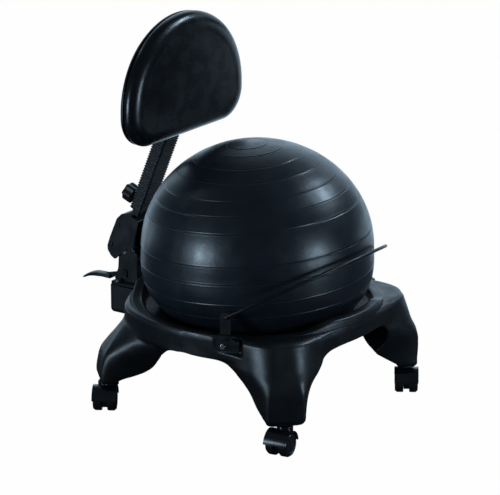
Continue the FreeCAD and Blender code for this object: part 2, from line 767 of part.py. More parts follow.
def make_clamps(pivot_across):
    """Two brackets bent over the rim edge, each with an upright tab that holds the bail's pin."""
    thick = S.clamp_thick
    face = S.rim_outer + S.running_gap
    low = S.rim_low - S.clamp_drop
    top = S.bail_pivot_height + S.clamp_tab_half
    bolts, knobs, studs = [], [], []
    for name, side in SIDES.items():
        forward = V(-side * sine(S.clamp_angle), -cosine(S.clamp_angle), 0)
        out = clamp_out(side)
        pivot = V(side * pivot_across, S.bail_pivot_back, S.bail_pivot_height)
        shift = pivot.dot(forward)
        tab_face = pivot.dot(out) - thick - 0.6
        seat = S.rim_low + S.running_gap
        tab = plate_on(side, tab_face, thick, [
            (shift - S.clamp_tab_half, seat), (shift + S.clamp_tab_half, seat),
            (shift + S.clamp_tab_half, top), (shift - S.clamp_tab_half, top)], [0, 0, 9, 9])
        flange = plate_on(side, tab_face, face + thick - tab_face, [
            (-S.clamp_foot_back, seat), (S.clamp_foot_front - 8, seat),
            (S.clamp_foot_front - 8, seat + thick), (-S.clamp_foot_back, seat + thick)], [0] * 4)
        foot = plate_on(side, face, thick, [
            (-S.clamp_foot_back, low), (S.clamp_foot_front, low),
            (S.clamp_foot_front, seat - 4), (S.clamp_foot_front - 8, seat + thick),
            (-S.clamp_foot_back, seat + thick)], [5, 5, 3, 0, 0])
        bracket = tab.fuse([flange, foot])
        pin = Part.makeCylinder(S.bail_wire_radius + S.running_gap, 60,
                                pivot - ACROSS * (side * 30), ACROSS * side)
        holes = [pin]
        for along, height, radius in clamp_screws():
            holes.append(Part.makeCylinder(radius, 40, clamp_point(side, face - 10, along, height), out))
        node(f"bail_clamp_{name}", feature(f"bail_clamp_{name}", bracket.cut(holes).removeSplitter()))
        (low_along, low_height, _), (knob_along, knob_height, _) = clamp_screws()
        outer = face + thick + 0.05
        head = Part.makeCylinder(6, 3.4, clamp_point(side, outer, low_along, low_height), out)
        head = head.makeFillet(1.5, [max(head.Edges, key=lambda e: e.CenterOfMass.dot(out))])
        shank = Part.makeCylinder(S.clamp_screw_radius, outer - S.rim_outer + 16,
                                  clamp_point(side, S.rim_outer - 16, low_along, low_height), out)
        bolts.append(head.fuse(shank))
        stud = Part.makeCylinder(S.clamp_screw_radius, outer + 7 - (S.rim_outer - 14),
                                 clamp_point(side, S.rim_outer - 14, knob_along, knob_height), out)
        studs.append(stud)
        hub_start = clamp_point(side, outer, knob_along, knob_height)
        hub = Part.makeCylinder(7, 13, hub_start, out)
        wing_low = clamp_point(side, outer + 4, knob_along - 15, knob_height - 4)
        wing_edges = [wing_low, wing_low + forward * 30, wing_low + forward * 30 + out * 9,
                      wing_low + out * 9]
        wing = Part.Face(wire(rounded(wing_edges, [3, 3, 3, 3]))).extrude(UP * 8)
        knob = hub.fuse(wing).cut(Part.makeCylinder(S.clamp_screw_radius + 0.02, 17.2 + 0.02,
                                                    hub_start - out * 10, out))
        knobs.append(knob)
    node("clamp_screws", feature("clamp_screws", Part.makeCompound(bolts)))
    node("clamp_studs", feature("clamp_studs", Part.makeCompound(studs)))
    node("clamp_wing_knobs", feature("clamp_wing_knobs", Part.makeCompound(knobs)))


# Rear box, plate and neck

def bolt_places():
    front = S.rim_outer + 4 + S.bolt_inset
    rear = S.box_rear - S.bolt_inset
    return [(x, y) for x in (-S.bolt_half_across, S.bolt_half_across) for y in (front, rear)]


def make_rear_box():
    """Moulded socket box on the back of the skirt, closed above by the steel plate."""
    w, e = S.box_wall, S.box_edge
    front = S.rim_outer - 14
    inner_front = S.rim_outer + w
    size = V(2 * S.box_half, S.box_rear - front, S.box_height)
    blank = Part.makeBox(size.x, size.y, size.z, V(-S.box_half, front, 0))
    soft = [edge for edge in blank.Edges
            if edge.BoundBox.YMin > front + 1 and edge.BoundBox.ZLength > 1
            or edge.BoundBox.ZMax < 1 and edge.BoundBox.YMax > front + 1]
    box = feature("rear_box_outside", blank.makeFillet(e, soft),
                  FreeCAD.Placement(V(0, 0, S.box_bottom), FreeCAD.Rotation()))
    a = S.box_half - w
    hollow = padded("rear_box_hollow", "XY_Plane",
                    polygon(((-a, inner_front), (a, inner_front), (a, S.box_rear - w),
                             (-a, S.box_rear - w)), [0, 0, e - w, e - w]),
                    "Sizes.box_height")
    hollow.Placement.Base = V(0, 0, S.box_bottom + w)
    posts = []
    for i, (x, y) in enumerate(bolt_places()):
        posts.append(cylinder(f"box_post_{i}", "2.4 * Sizes.bolt_radius",
                              "Sizes.box_height - Sizes.box_wall", V(x, y, S.box_bottom + w)))
    holes = []
    for i, (x, y) in enumerate(bolt_places()):
        holes.append(cylinder(f"box_hole_{i}", "Sizes.bolt_radius + Sizes.running_gap", "40",
                              V(x, y, S.box_top - 30)))
    gap = S.running_gap
    skirt = feature("box_skirt_clear", solid_of_turn([
        (0, 0), (S.rim_outer - 2 + gap, 0), (S.rim_outer - 2 + gap, S.skirt_bottom),
        (S.rim_outer + gap, S.rim_low), (S.rim_outer + gap, S.rim_high), (0, S.rim_high)]))
    walls = cut("rear_box_walls", box, [hollow])
    solid = joined("rear_box_solid", [walls] + posts)
    node("rear_mount_box", cut("rear_mount_box", solid, holes + [skirt]))


def make_plate():
    """Steel plate on the box, its four bolts and the folded neck that stands on it."""
    z = S.box_top + S.running_gap
    front = S.rim_outer + 4
    outline = polygon(((-S.plate_half, front), (S.plate_half, front), (S.plate_half, S.box_rear + 2),
                       (-S.plate_half, S.box_rear + 2)), [6, 6, 6, 6])
    sheet_metal = padded("plate_blank", "XY_Plane", outline, "Sizes.plate_thick")
    sheet_metal.Placement.Base = V(0, 0, z)
    holes = []
    bolts = []
    top = z + S.plate_thick + S.running_gap
    for i, (x, y) in enumerate(bolt_places()):
        holes.append(cylinder(f"plate_hole_{i}", "Sizes.bolt_radius + Sizes.running_gap", "20",
                              V(x, y, z - 5)))
        r = S.bolt_radius
        bolts.append(turned(f"plate_bolt_{i}", polygon(
            ((0, -24), (r, -24), (r, 0), (r + 2.6, 0), (r + 2.6, 2.4), (r + 1, 4.4), (0, 4.8)),
            [0, 0, 0, 0, 0, 0, 0]), FreeCAD.Placement(V(x, y, top), FreeCAD.Rotation())))
    node("mounting_plate", cut("mounting_plate", sheet_metal, holes))
    node("plate_bolts", group("plate_bolts", bolts))
    floor = S.plate_top
    high = S.pivot_height + 15
    cheek = polygon(((S.neck_front, floor), (S.neck_rear + 6, floor), (S.neck_rear - 4, floor + 26),
                     (S.neck_rear - 6, S.pivot_height - 8), (S.pivot_back + 9, high),
                     (S.pivot_back - 13, high), (S.neck_front, S.pivot_height - 8)),
                    [0, 2, 8, 8, 8, 8, 8])
    cheeks = []
    for name, side in SIDES.items():
        side_plate = padded(f"neck_cheek_{name}", "YZ_Plane", cheek, "Sizes.neck_sheet")
        side_plate.Placement.Base = V(S.neck_half - S.neck_sheet if side > 0 else -S.neck_half, 0, 0)
        cheeks.append(side_plate)
    web = block("neck_web", V(-S.neck_half + 1, S.neck_front, floor),
                V(S.neck_half - 1, S.neck_front + S.neck_sheet, S.pivot_height - 26))
    foot = block("neck_foot", V(-S.neck_half + 1, S.neck_front, floor),
                 V(S.neck_half - 1, S.neck_rear, floor + S.neck_sheet / 2))
    body = joined("neck_body", cheeks + [web, foot])
    pin = cylinder("neck_pivot_hole", "Sizes.pivot_radius + Sizes.running_gap", "4 * Sizes.neck_half",
                   V(-2 * S.neck_half, S.pivot_back, S.pivot_height), ACROSS)
    lever = cylinder("neck_lever_hole", "Sizes.lever_pin_radius + Sizes.running_gap",
                     "4 * Sizes.neck_half", V(-2 * S.neck_half, S.lever_back, S.lever_height), ACROSS)
    node("neck_bracket", cut("neck_bracket", body, [pin, lever]))
    node("tilt_pin", cylinder("tilt_pin", "Sizes.pivot_radius",
                              "2 * (Sizes.neck_half + Sizes.cover_gap - 0.5)",
                              V(-(S.cover_half - S.cover_wall - 0.5), S.pivot_back, S.pivot_height),
                              ACROSS))


# Back support: post frame

def post_place(across=0.0, back=0.0, along=0.0):
    """Post frame: X across, Y out of the post's rear face, Z up along the post."""
    turn = FreeCAD.Rotation(ACROSS, S.post_lean)
    origin = V(0, S.post_back, S.post_height)
    return FreeCAD.Placement(origin + turn.multVec(V(across, back, along)), turn)


def bar_foot():
    """Middle of the back bar's lower end."""
    return post_place(0, -S.bar_thick / 2 - 0.2, 6).Base


def bar_bend():
    """Where the middle line of the back bar turns upright."""
    low = bar_foot()
    lean = V(0, -sine(S.post_lean), cosine(S.post_lean))
    return low + lean * ((S.bar_bend_height - low.z) / lean.z)


def pivot_in_post():
    """The tilt pivot, seen in the post frame."""
    return post_place().inverse().multVec(V(0, S.pivot_back, S.pivot_height))


def make_covers():
    """Two moulded half covers around the tilt pivot, screwed together across the middle."""
    outline = ((-20, 0), (14, 0), (24, -8), (31, -24), (32, -70), (31, -92), (27, -101),
               (14, -109), (2, -111), (-6, -92), (-16, -74), (-30, -62), (-24, -30))
    radii = [2, 5, 8, 12, 20, 8, 8, 8, 5, 6, 6, 4, 8]
    w = S.cover_wall
    inside = ((-50, -w), (13, -w), (22, -10), (31 - w, -26), (32 - w, -70), (30.5 - w, -90),
              (14, -104), (4, -140), (-50, -140))
    for name, side in SIDES.items():
        half = padded(f"cover_blank_{name}", "YZ_Plane", polygon(outline, radii),
                      "Sizes.neck_half + Sizes.cover_gap + Sizes.cover_wall - Sizes.running_gap")
        room = padded(f"cover_room_{name}", "YZ_Plane", polygon(inside),
                      "Sizes.neck_half + Sizes.cover_gap")
        slot_high = V(S.tongue_half + 1, S.bar_thick + 2, 10)
        slot_low = V(-S.tongue_half - 1, -1, -20)
        slot = block(f"cover_slot_{name}", slot_low, slot_high)
        slot.Placement = post_place().multiply(slot.Placement)
        offset = S.running_gap if side > 0 else -S.cover_half
        half.Placement = post_place(offset)
        room.Placement = post_place(0 if side > 0 else -(S.cover_half - S.cover_wall))
        holes = []
        for i, (back, along) in enumerate(((22, -34), (22, -84))):
            hole = cylinder(f"cover_hole_{name}_{i}", "Sizes.panel_screw_radius + Sizes.running_gap",
                            "4 * Sizes.neck_half", V(0, 0, 0))
            hole.Placement = post_place(-2 * S.neck_half, back, along).multiply(
                FreeCAD.Placement(V(0, 0, 0), FreeCAD.Rotation(UP, ACROSS)))
            holes.append(hole)
        node(f"housing_cover_{name}", cut(f"housing_cover_{name}", half, [room, slot] + holes))
    screws = []
    for i, (back, along) in enumerate(((22, -34), (22, -84))):
        length = S.cover_half
        r = S.panel_screw_radius
        place = post_place(-S.cover_half - 0.1, back, along).multiply(
            FreeCAD.Placement(V(0, 0, 0), FreeCAD.Rotation(UP, ACROSS)))
        screws.append(turned(f"cover_screw_{i}", polygon(
            ((0, -2.2), (r + 0.8, -1.8), (r + 2, 0), (r, 0), (r, 2 * length - 4), (0, 2 * length - 4))),
            place))
    node("cover_screws", group("cover_screws", screws))


def make_tilt_bracket():
    """Folded bracket on the tilt pin, carrying the flat tongue on which the back bar slides."""
    pivot = pivot_in_post()
    q = S.quadrant_radius
    ear = polygon(((pivot.y - q * 0.6, pivot.z - q * 0.8), (pivot.y + q * 0.6, pivot.z - q * 0.8),
                   (pivot.y + 16, pivot.z + 14), (S.bar_thick + 4, -18), (-8, -18),
                   (pivot.y - 16, pivot.z + 14)), [10, 10, 10, 4, 4, 10])
    ears = []
    for name, side in SIDES.items():
        plate = padded(f"bracket_ear_{name}", "YZ_Plane", ear, "Sizes.bracket_sheet")
        across = S.bracket_half - S.bracket_sheet if side > 0 else -S.bracket_half
        plate.Placement = post_place(across)
        ears.append(plate)
    web = block("bracket_web", V(-S.bracket_half + 1, S.bar_thick + 0.2, pivot.z + 22),
                V(S.bracket_half - 1, S.bar_thick + 0.2 + S.bracket_sheet, -18))
    web.Placement = post_place().multiply(web.Placement)
    low = V(-S.tongue_half, 0.2, pivot.z + 22)
    tongue = block("bracket_tongue", low, V(S.tongue_half, 0.2 + S.bar_thick, S.tongue_length))
    tongue.Placement = post_place().multiply(tongue.Placement)
    body = joined("bracket_body", ears + [web, tongue])
    pin = cylinder("bracket_pin_hole", "Sizes.pivot_radius + Sizes.running_gap",
                   "4 * Sizes.neck_half", V(-2 * S.neck_half, S.pivot_back, S.pivot_height), ACROSS)
    node("tilt_bracket", cut("tilt_bracket", body, [pin]))


def box_wire(half_across, half_deep, z):
    """Level rectangle round the post, set a little to the rear of the bar."""
    front, rear = S.bellows_back - half_deep, S.bellows_back + half_deep
    points = [V(-half_across, front, z), V(half_across, front, z), V(half_across, rear, z),
              V(-half_across, rear, z)]
    return Part.makePolygon(points + points[:1])


def make_sliding_post():
    """Flat bar with its lower collar, and the ribbed cover that hides them."""
    bore_across = S.bar_half + 0.6
    bore_deep = S.bar_thick + 1.2
    out_across = bore_across + S.collar_wall
    out_deep = bore_deep + S.collar_wall
    sleeve = Part.makeBox(2 * out_across, 2 * out_deep, S.collar_length, V(-out_across, -out_deep, 2))
    sleeve = sleeve.makeFillet(1.2, [e for e in sleeve.Edges if abs(e.tangentAt(0).z) > 0.9])
    boss = Part.makeCylinder(S.stud_radius + 3, 10, V(0, out_deep - 0.5, S.knob_along), BACK)
    bore = Part.makeBox(2 * bore_across, 2 * bore_deep, S.collar_length + 10,
                        V(-bore_across, -bore_deep, -5))
    stud_hole = Part.makeCylinder(S.stud_radius + S.running_gap, 40, V(0, 0, S.knob_along), BACK)
    collar = sleeve.fuse(boss).cut([bore, stud_hole])
    node("bar_collar", feature("bar_collar", collar, post_place()))
    root_across = out_across + 0.4 + S.bellows_wall
    room_deep = out_deep + 0.4 + S.bellows_spare
    root_deep = room_deep + S.bellows_wall
    wires = []
    count = int(round(S.bellows_length / S.bellows_pitch))
    for rib in range(count):
        start = S.bellows_start + rib * S.bellows_pitch
        for share, swell in ((0, 0), (0.2, 0), (0.42, S.bellows_rib), (0.78, S.bellows_rib)):
            z = start + share * S.bellows_pitch
            wires.append(box_wire(root_across + swell, root_deep + swell, z))
    last = S.bellows_start + count * S.bellows_pitch
    wires.append(box_wire(root_across, root_deep, last))
    ribs = Part.makeLoft(wires, True, True)
    room = Part.makeBox(2 * (out_across + 0.4), 2 * room_deep, S.bellows_length * 1.5,
                        V(-out_across - 0.4, S.bellows_back - room_deep, 0))
    knob_way = Part.makeCylinder(S.stud_radius + 3.4, 40, V(0, 0, S.knob_along), BACK)
    node("post_bellows", feature("post_bellows", ribs.cut([room, knob_way]), post_place()))
    # The bar leans with the post, then stands upright behind the backrest.
    half = S.bar_thick / 2
    low = bar_foot()
    bend = bar_bend()
    out = V(0, cosine(S.post_lean), sine(S.post_lean))
    bisector = V(0, cosine(S.post_lean / 2), sine(S.post_lean / 2))
    step = half / cosine(S.post_lean / 2)
    top = V(0, bend.y, S.bar_top)
    points = [low - out * half, bend - bisector * step, top - BACK * half,
              top + BACK * half, bend + bisector * step, low + out * half]
    radii = [0, S.bar_bend_radius - half, 0, 0, S.bar_bend_radius + half, 0]
    outline = rounded([V(p.y, p.z, 0) for p in points], radii)
    bar = padded("bar_blank", "YZ_Plane", outline, "2 * Sizes.bar_half", middle=True)
    holes = []
    for i, height in enumerate(panel_screw_heights()):
        holes.append(cylinder(f"bar_hole_{i}", "Sizes.panel_screw_radius + Sizes.running_gap", "40",
                              V(0, bend.y - 20, height), BACK))
    node("back_bar", cut("back_bar", bar, holes))
    return bend.y


def panel_screw_heights():
    span = S.bar_top - S.bar_bend_height
    return [S.bar_bend_height + span * share for share in (0.3, 0.58, 0.86)]


def soft_topped(radius, height, base):
    """Upright cylinder with a chamfered top edge."""
    post = Part.makeCylinder(radius, height, base)
    return post.makeChamfer(1.4, [e for e in post.Edges if e.BoundBox.ZMin > base.z + height - 0.1])


def make_knob():
    """Lobed hand knob and its stud, screwed through the collar against the tongue."""
    along = S.knob_along
    start = S.bar_thick + 0.5
    reach = 36
    stud_place = post_place(0, start, along).multiply(
        FreeCAD.Placement(V(0, 0, 0), FreeCAD.Rotation(UP, BACK)))
    stud = cylinder("knob_stud", "Sizes.stud_radius", str(reach), V(0, 0, 0))
    stud.Placement = stud_place
    node("knob_stud", stud)
    r = S.knob_radius
    core = soft_topped(r * 0.8, S.knob_length, V(0, 0, 0))
    lobes = []
    for i in range(int(S.knob_lobes)):
        angle = i * 360 / S.knob_lobes
        centre = V(cosine(angle) * r * 0.7, sine(angle) * r * 0.7, 0)
        lobes.append(soft_topped(r * 0.3, S.knob_length, centre))
    body = core.fuse(lobes)
    hub = Part.makeCylinder(r * 0.45, 3, V(0, 0, -3))
    hole = Part.makeCylinder(S.stud_radius + 0.02, 20.2, V(0, 0, -3.1))
    knob = body.fuse(hub).cut(hole)
    knob_place = post_place(0, start + reach - 17, along).multiply(
        FreeCAD.Placement(V(0, 0, 0), FreeCAD.Rotation(UP, BACK)))
    node("height_knob", feature("height_knob", knob, knob_place))


def make_lever():
    """Tilt lock: cross pin with its cam, flat steel arm and moulded paddle."""
    start = -(S.neck_half + 1 + S.lever_arm_thick)
    pin = cylinder("lever_pin_rod", "Sizes.lever_pin_radius",
                   "2 * Sizes.neck_half + 3 + Sizes.lever_arm_thick",
                   V(start, S.lever_back, S.lever_height), ACROSS)
    cam = Part.makeCylinder(S.cam_radius, 26,
                            V(-13, S.lever_back, S.lever_height + 0.4 * S.cam_radius), ACROSS)
    cam = cam.cut(Part.makeCylinder(S.lever_pin_radius + 0.02, 40,
                                    V(-20, S.lever_back, S.lever_height), ACROSS))
    node("lever_pin", pin)
    node("lever_cam", feature("lever_cam", cam))
    arm_outline = polygon(
        ((S.lever_back - 9, S.lever_height - 9), (S.lever_back + 14, S.lever_height - 9),
         (S.lever_handle_start + 22, S.lever_height - 14), (S.lever_handle_start + 22, S.lever_height - 7),
         (S.lever_back + 16, S.lever_height + 3), (S.lever_back + 5, S.lever_height + 9),
         (S.lever_back - 9, S.lever_height + 9)), [6, 4, 2, 2, 6, 6, 6])
    arm = padded("lever_arm_blank", "YZ_Plane", arm_outline, "Sizes.lever_arm_thick")
    arm.Placement.Base = V(start + 0.6, 0, 0)
    hole = cylinder("lever_arm_hole", "Sizes.lever_pin_radius + 0.02", "20",
                    V(start - 5, S.lever_back, S.lever_height), ACROSS)
    node("lever_arm", cut("lever_arm", arm, [hole]))
    y0 = S.lever_handle_start
    y1 = y0 + S.lever_handle_length
    z = S.lever_height - 6
    t = S.lever_handle_thick
    side = [(y0, z - t), (y0 + 15, z - t + 1), (y0 + 27, z - t - 1), (y0 + 40, z - t - 1),
            (y0 + 52, z - t - 5), (y1 - 3, z - t - 12), (y1, z - t - 9), (y1 - 5, z - 8),
            (y0 + 45, z + 1), (y0 + 22, z + 1.5), (y0, z)]
    radii = [1, 12, 10, 10, 12, 2, 3, 14, 20, 20, 1]
    paddle = padded("lever_paddle_blank", "YZ_Plane", polygon(side, radii),
                    "2 * Sizes.lever_handle_half")
    middle = start + 0.6 + S.lever_arm_thick / 2
    paddle.Placement.Base = V(middle - S.lever_handle_half, 0, 0)
    slot = block("lever_paddle_slot",
                 V(start + 0.5, y0 - 1, S.lever_height - 14.3),
                 V(start + 0.7 + S.lever_arm_thick, y0 + 22.4, S.lever_height - 0.4))
    node("lever_paddle", cut("lever_paddle", paddle, [slot]))


# Backrest

def pad_outline(inset, y):
    """Rounded D outline in a level-back plane, drawn in from the full size by an inset."""
    half = S.pad_half - inset
    corner = S.pad_corner - inset
    side = S.pad_side_radius - inset
    blend = S.pad_blend
    side_x = S.pad_half - S.pad_side_radius
    crown = (side_x + side * cosine(blend)) / cosine(blend)
    crown_full = (side_x + S.pad_side_radius * cosine(blend)) / cosine(blend)
    side_z = S.pad_top - crown_full + (crown_full - S.pad_side_radius) * sine(blend)
    crown_z = side_z + side * sine(blend) - crown * sine(blend)
    corner_x = S.pad_half - S.pad_corner
    corner_z = S.pad_bottom + S.pad_corner

    def arc(cx, cz, radius, first, last):
        spots = [first, (first + last) / 2, last]
        return Part.Arc(*[V(cx + radius * cosine(a), y, cz + radius * sine(a)) for a in spots])

    low = V(corner_x, y, S.pad_bottom + inset)
    left = V(-corner_x, y, S.pad_bottom + inset)
    edges = [
        Part.LineSegment(left, low),
        arc(corner_x, corner_z, corner, -90, 0),
        Part.LineSegment(V(half, y, corner_z), V(half, y, side_z)),
        arc(side_x, side_z, side, 0, blend),
        arc(0, crown_z, crown, blend, 180 - blend),
        arc(-side_x, side_z, side, 180 - blend, 180),
        Part.LineSegment(V(-half, y, side_z), V(-half, y, corner_z)),
        arc(-corner_x, corner_z, corner, 180, 270),
    ]
    return wire(edges)


def make_backrest():
    """Cushion with rolled sides, the board inside it and the moulded rear panel."""
    depth = S.pad_rear - S.pad_front
    stations = ((0, 40), (0.04, 22), (0.14, 9), (0.33, 2), (0.55, 0), (0.8, 1), (1, 5))
    wires = [pad_outline(inset, S.pad_front + depth * share) for share, inset in stations]
    cushion = Part.makeLoft(wires, True, False)
    recess = Part.Face(pad_outline(S.board_inset, S.pad_rear - S.board_thick - 0.3))
    recess = recess.extrude(V(0, S.board_thick + 10, 0))
    node("backrest_pad", feature("backrest_pad", cushion.cut(recess)))
    board = Part.Face(pad_outline(S.board_inset + 0.3, S.pad_rear - S.board_thick))
    board = board.extrude(V(0, S.board_thick, 0))
    front = S.pad_rear + S.seat_gap
    t = S.shell_thick
    panel_stations = ((0, 1.5), (0.3, 1.5), (0.7, 4), (0.92, 10), (1, 18))
    panel = Part.makeLoft([pad_outline(inset, front + t * share) for share, inset in panel_stations],
                          True, False)
    screws = []
    holes = []
    for height in panel_screw_heights():
        r = S.panel_screw_radius
        holes.append(Part.makeCylinder(r + S.running_gap, 60, V(0, S.pad_rear - 30, height), BACK))
    node("backrest_board", feature("backrest_board", board.cut(holes)))
    node("backrest_shell", feature("backrest_shell", panel.cut(holes)))
    return front + t


def make_panel_screws(bar_back):
    """Screws through the bar and the rear panel into the board."""
    screws = []
    head_at = bar_back + S.bar_thick / 2 + S.running_gap
    length = head_at - (S.pad_rear - S.board_thick + 1)
    r = S.panel_screw_radius
    for i, height in enumerate(panel_screw_heights()):
        outline = polygon(((0, -length), (r, -length), (r, 0), (r + 2.2, 0), (r + 1.6, 2), (0, 2.8)))
        place = FreeCAD.Placement(V(0, head_at, height), FreeCAD.Rotation(UP, BACK))
        screws.append(turned(f"panel_screw_{i}", outline, place))
    node("backrest_screws", group("backrest_screws", screws))


def write_nodes():
    """Stops on a failed or broken shape, then writes one file for each sub-part."""
    doc.recompute()
    for item in doc.Objects:
        if "Invalid" in item.State or "Error" in item.State:
            raise RuntimeError(f"{item.Name} did not build: {item.State}")
    for label, part in NODES.items():
        shape = part.Shape
        if shape.isNull() or not shape.isValid() or not shape.Solids:
            raise RuntimeError(f"{label} is not a valid solid")
    os.makedirs("parts", exist_ok=True)
    for label, part in NODES.items():
        part.Shape.exportStep(os.path.join("parts", label + ".step"))
    print(len(NODES), "sub-parts written")


settle_base()
settle_back()
make_ball()
make_base()
make_casters()
pivot_across = make_bail()
make_clamps(pivot_across)
make_rear_box()
make_plate()
make_covers()
make_tilt_bracket()
bar_back = make_sliding_post()
make_knob()
make_lever()
make_backrest()
make_panel_screws(bar_back)
write_nodes()
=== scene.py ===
"""Dresses the balance ball chair: shapes its soft and moulded pieces, gives every piece its finish
and sets the studio around it. Meshes are in metres in the part's own frame; the fields of the
pieces are in millimetres, or in metres where they say MM."""

import json
import logging
import math
from dataclasses import dataclass
from enum import Enum
from functools import cache

import bmesh
import bpy
import numpy as np
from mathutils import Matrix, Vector


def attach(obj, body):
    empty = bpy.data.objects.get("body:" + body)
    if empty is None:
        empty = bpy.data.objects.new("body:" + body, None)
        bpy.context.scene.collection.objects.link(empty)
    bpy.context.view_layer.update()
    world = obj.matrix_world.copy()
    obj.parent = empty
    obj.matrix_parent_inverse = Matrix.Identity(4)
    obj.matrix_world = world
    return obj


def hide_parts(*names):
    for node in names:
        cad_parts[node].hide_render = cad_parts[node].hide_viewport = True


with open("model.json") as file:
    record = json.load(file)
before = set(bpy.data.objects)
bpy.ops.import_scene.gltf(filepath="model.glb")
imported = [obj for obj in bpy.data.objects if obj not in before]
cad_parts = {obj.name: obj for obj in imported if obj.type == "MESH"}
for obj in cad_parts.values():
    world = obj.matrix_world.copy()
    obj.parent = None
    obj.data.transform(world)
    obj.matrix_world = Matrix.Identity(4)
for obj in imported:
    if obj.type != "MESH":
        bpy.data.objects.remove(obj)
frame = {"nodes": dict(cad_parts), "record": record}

logging.basicConfig(level=logging.INFO, format="%(message)s")
LOG = logging.getLogger("ball_chair")
MM = 0.001
Pair = tuple[float, float]
Triple = tuple[float, float, float]
Table = tuple[tuple[float, ...], ...]
Array = np.ndarray
Numbers = Array | float
Object = bpy.types.Object
Socket = bpy.types.NodeSocket
Feed = Socket | float | tuple


class Closing(Enum):
    """How a grid surface ends at its first and last row."""

    POLES = "poles"
    RING = "ring"


# ---- shape helpers


def placed(name: str, data: bpy.types.ID) -> Object:
    """A new object in the scene, for a mesh, a lamp or a camera."""
    holder = bpy.data.objects.new(name, data)
    bpy.context.scene.collection.objects.link(holder)
    return holder


def grid_piece(name: str, points: Array, closing: Closing = Closing.POLES,
               flip: bool = False) -> Object:
    """Puts a grid of points into a mesh whose columns close on themselves.

    Each row is a closed loop of points. Neighbouring rows are joined by quads, and the last column
    joins the first. With POLES a fan of triangles closes the first and the last row, and with RING
    the last row joins the first row.

    Args:
        name: The new object's name.
        points: Array of shape (rows, columns, 3).
        closing: What happens at the first and last row.
        flip: Whether the faces are turned round.

    Returns:
        The new object, smooth shaded.
    """
    rows, columns = points.shape[:2]
    row, column = np.meshgrid(np.arange(rows), np.arange(columns), indexing="ij")
    index = row * columns + column
    if closing is Closing.RING:
        low, high = index, np.roll(index, -1, axis=0)
    else:
        low, high = index[:-1], index[1:]
    quads = np.stack([low, np.roll(low, -1, 1), np.roll(high, -1, 1), high], axis=-1).reshape(-1, 4)
    vertices = points.reshape(-1, 3)
    faces = quads.tolist()
    if closing is Closing.POLES:
        first, last = len(vertices), len(vertices) + 1
        vertices = np.vstack([vertices, points[0].mean(0), points[-1].mean(0)])
        start, end = index[0], index[-1]
        faces += np.stack([np.full(columns, first), np.roll(start, -1), start], 1).tolist()
        faces += np.stack([np.full(columns, last), end, np.roll(end, -1)], 1).tolist()
    if flip:
        faces = [face[::-1] for face in faces]
    mesh = bpy.data.meshes.new(name)
    mesh.from_pydata(vertices.tolist(), [], faces)
    mesh.update()
    piece = placed(name, mesh)
    smooth_shaded(piece)
    return piece


def smooth_shaded(piece: Object) -> None:
    """Shades every face of a piece smooth."""
    faces = piece.data.polygons
    faces.foreach_set("use_smooth", np.ones(len(faces), bool))


def polar(radius: Numbers, turn: Numbers) -> Array:
    """Flat points by radius and angle in radians, as pairs in a new last axis."""
    return np.stack([radius * np.cos(turn), radius * np.sin(turn)], -1)


def level_ring(angle: Array, radius: Numbers, height: Numbers) -> Array:
    """Points at a radius and a height for each angle in degrees."""
    return np.column_stack([polar(radius, np.radians(angle)), np.broadcast_to(height, angle.shape)])


def squarish(value: Array, power: float) -> Array:
    """A power that keeps the sign: below 1 it makes an oval of sines and cosines squarer."""
    return np.sign(value) * np.abs(value) ** power


def rounded_box_loop(half: Pair, corner: float, count: int) -> Array:
    """Points evenly spaced along a rounded rectangle.

    The outline is four quarter circles of the corner radius, joined by straight sides, and
    resampled by its own length.

    Args:
        half: Half the width and half the depth.
        corner: Corner radius.
        count: Number of points.

    Returns:
        Array of shape (count, 2).
    """
    turn = np.linspace(0, np.pi / 2, 9)
    centres = np.array([[1, 1], [-1, 1], [-1, -1], [1, -1]]) * np.subtract(half, corner)
    arcs = [centre + polar(corner, turn + k * np.pi / 2) for k, centre in enumerate(centres)]
    return resampled(np.vstack(arcs), count)


def resampled(loop: Array, count: int) -> Array:
    """Evenly spaced points along a closed polyline, by running length along it."""
    closed = np.vstack([loop, loop[:1]])
    length = np.r_[0, np.cumsum(np.linalg.norm(np.diff(closed, axis=0), axis=1))]
    at = np.linspace(0, length[-1], count, endpoint=False)
    return np.stack([np.interp(at, length, closed[:, k]) for k in range(closed.shape[1])], 1)


def cubic(t: Array, low: Array, high: Array, leave: Array, arrive: Array) -> Array:
    """Cubic piece from low at t = 0 to high at t = 1, with its slopes there."""
    return ((2 * t**3 - 3 * t**2 + 1) * low + (t**3 - 2 * t**2 + t) * leave
            + (3 * t**2 - 2 * t**3) * high + (t**3 - t**2) * arrive)


def smooth_profile(pairs: Table, count: int) -> Array:
    """A smooth open curve through the pairs.

    The curve is a chain of cubic pieces whose slope at each pair is half the step between its
    neighbours, taken at even steps of the pair number.

    Args:
        pairs: Points the curve passes through.
        count: Number of points wanted.

    Returns:
        Array of shape (count, 2).
    """
    p = np.array(pairs, float)
    slope = np.gradient(p, axis=0)
    at = np.linspace(0, len(p) - 1, count)
    i = np.minimum(at.astype(int), len(p) - 2)
    t = (at - i)[:, None]
    return cubic(t, p[i], p[i + 1], slope[i], slope[i + 1])


def curve_at(x: Array, xs: Array, ys: Array) -> Array:
    """Smooth value through a table of points, without rising past them.

    Cubic pieces run between the points. The slope at a point is the harmonic mean of the slopes
    of its two neighbouring pieces, or nothing where these differ in sign and at the ends.
    """
    width = np.diff(xs)
    step = np.diff(ys) / width
    slope = np.zeros(len(xs))
    product = step[1:] * step[:-1]
    same = product > 0
    slope[1:-1][same] = 2 * product[same] / (step[1:] + step[:-1])[same]
    i = np.clip(np.searchsorted(xs, x, side="right") - 1, 0, len(xs) - 2)
    t = np.clip((x - xs[i]) / width[i], 0, 1)
    return cubic(t, ys[i], ys[i + 1], slope[i] * width[i], slope[i + 1] * width[i])


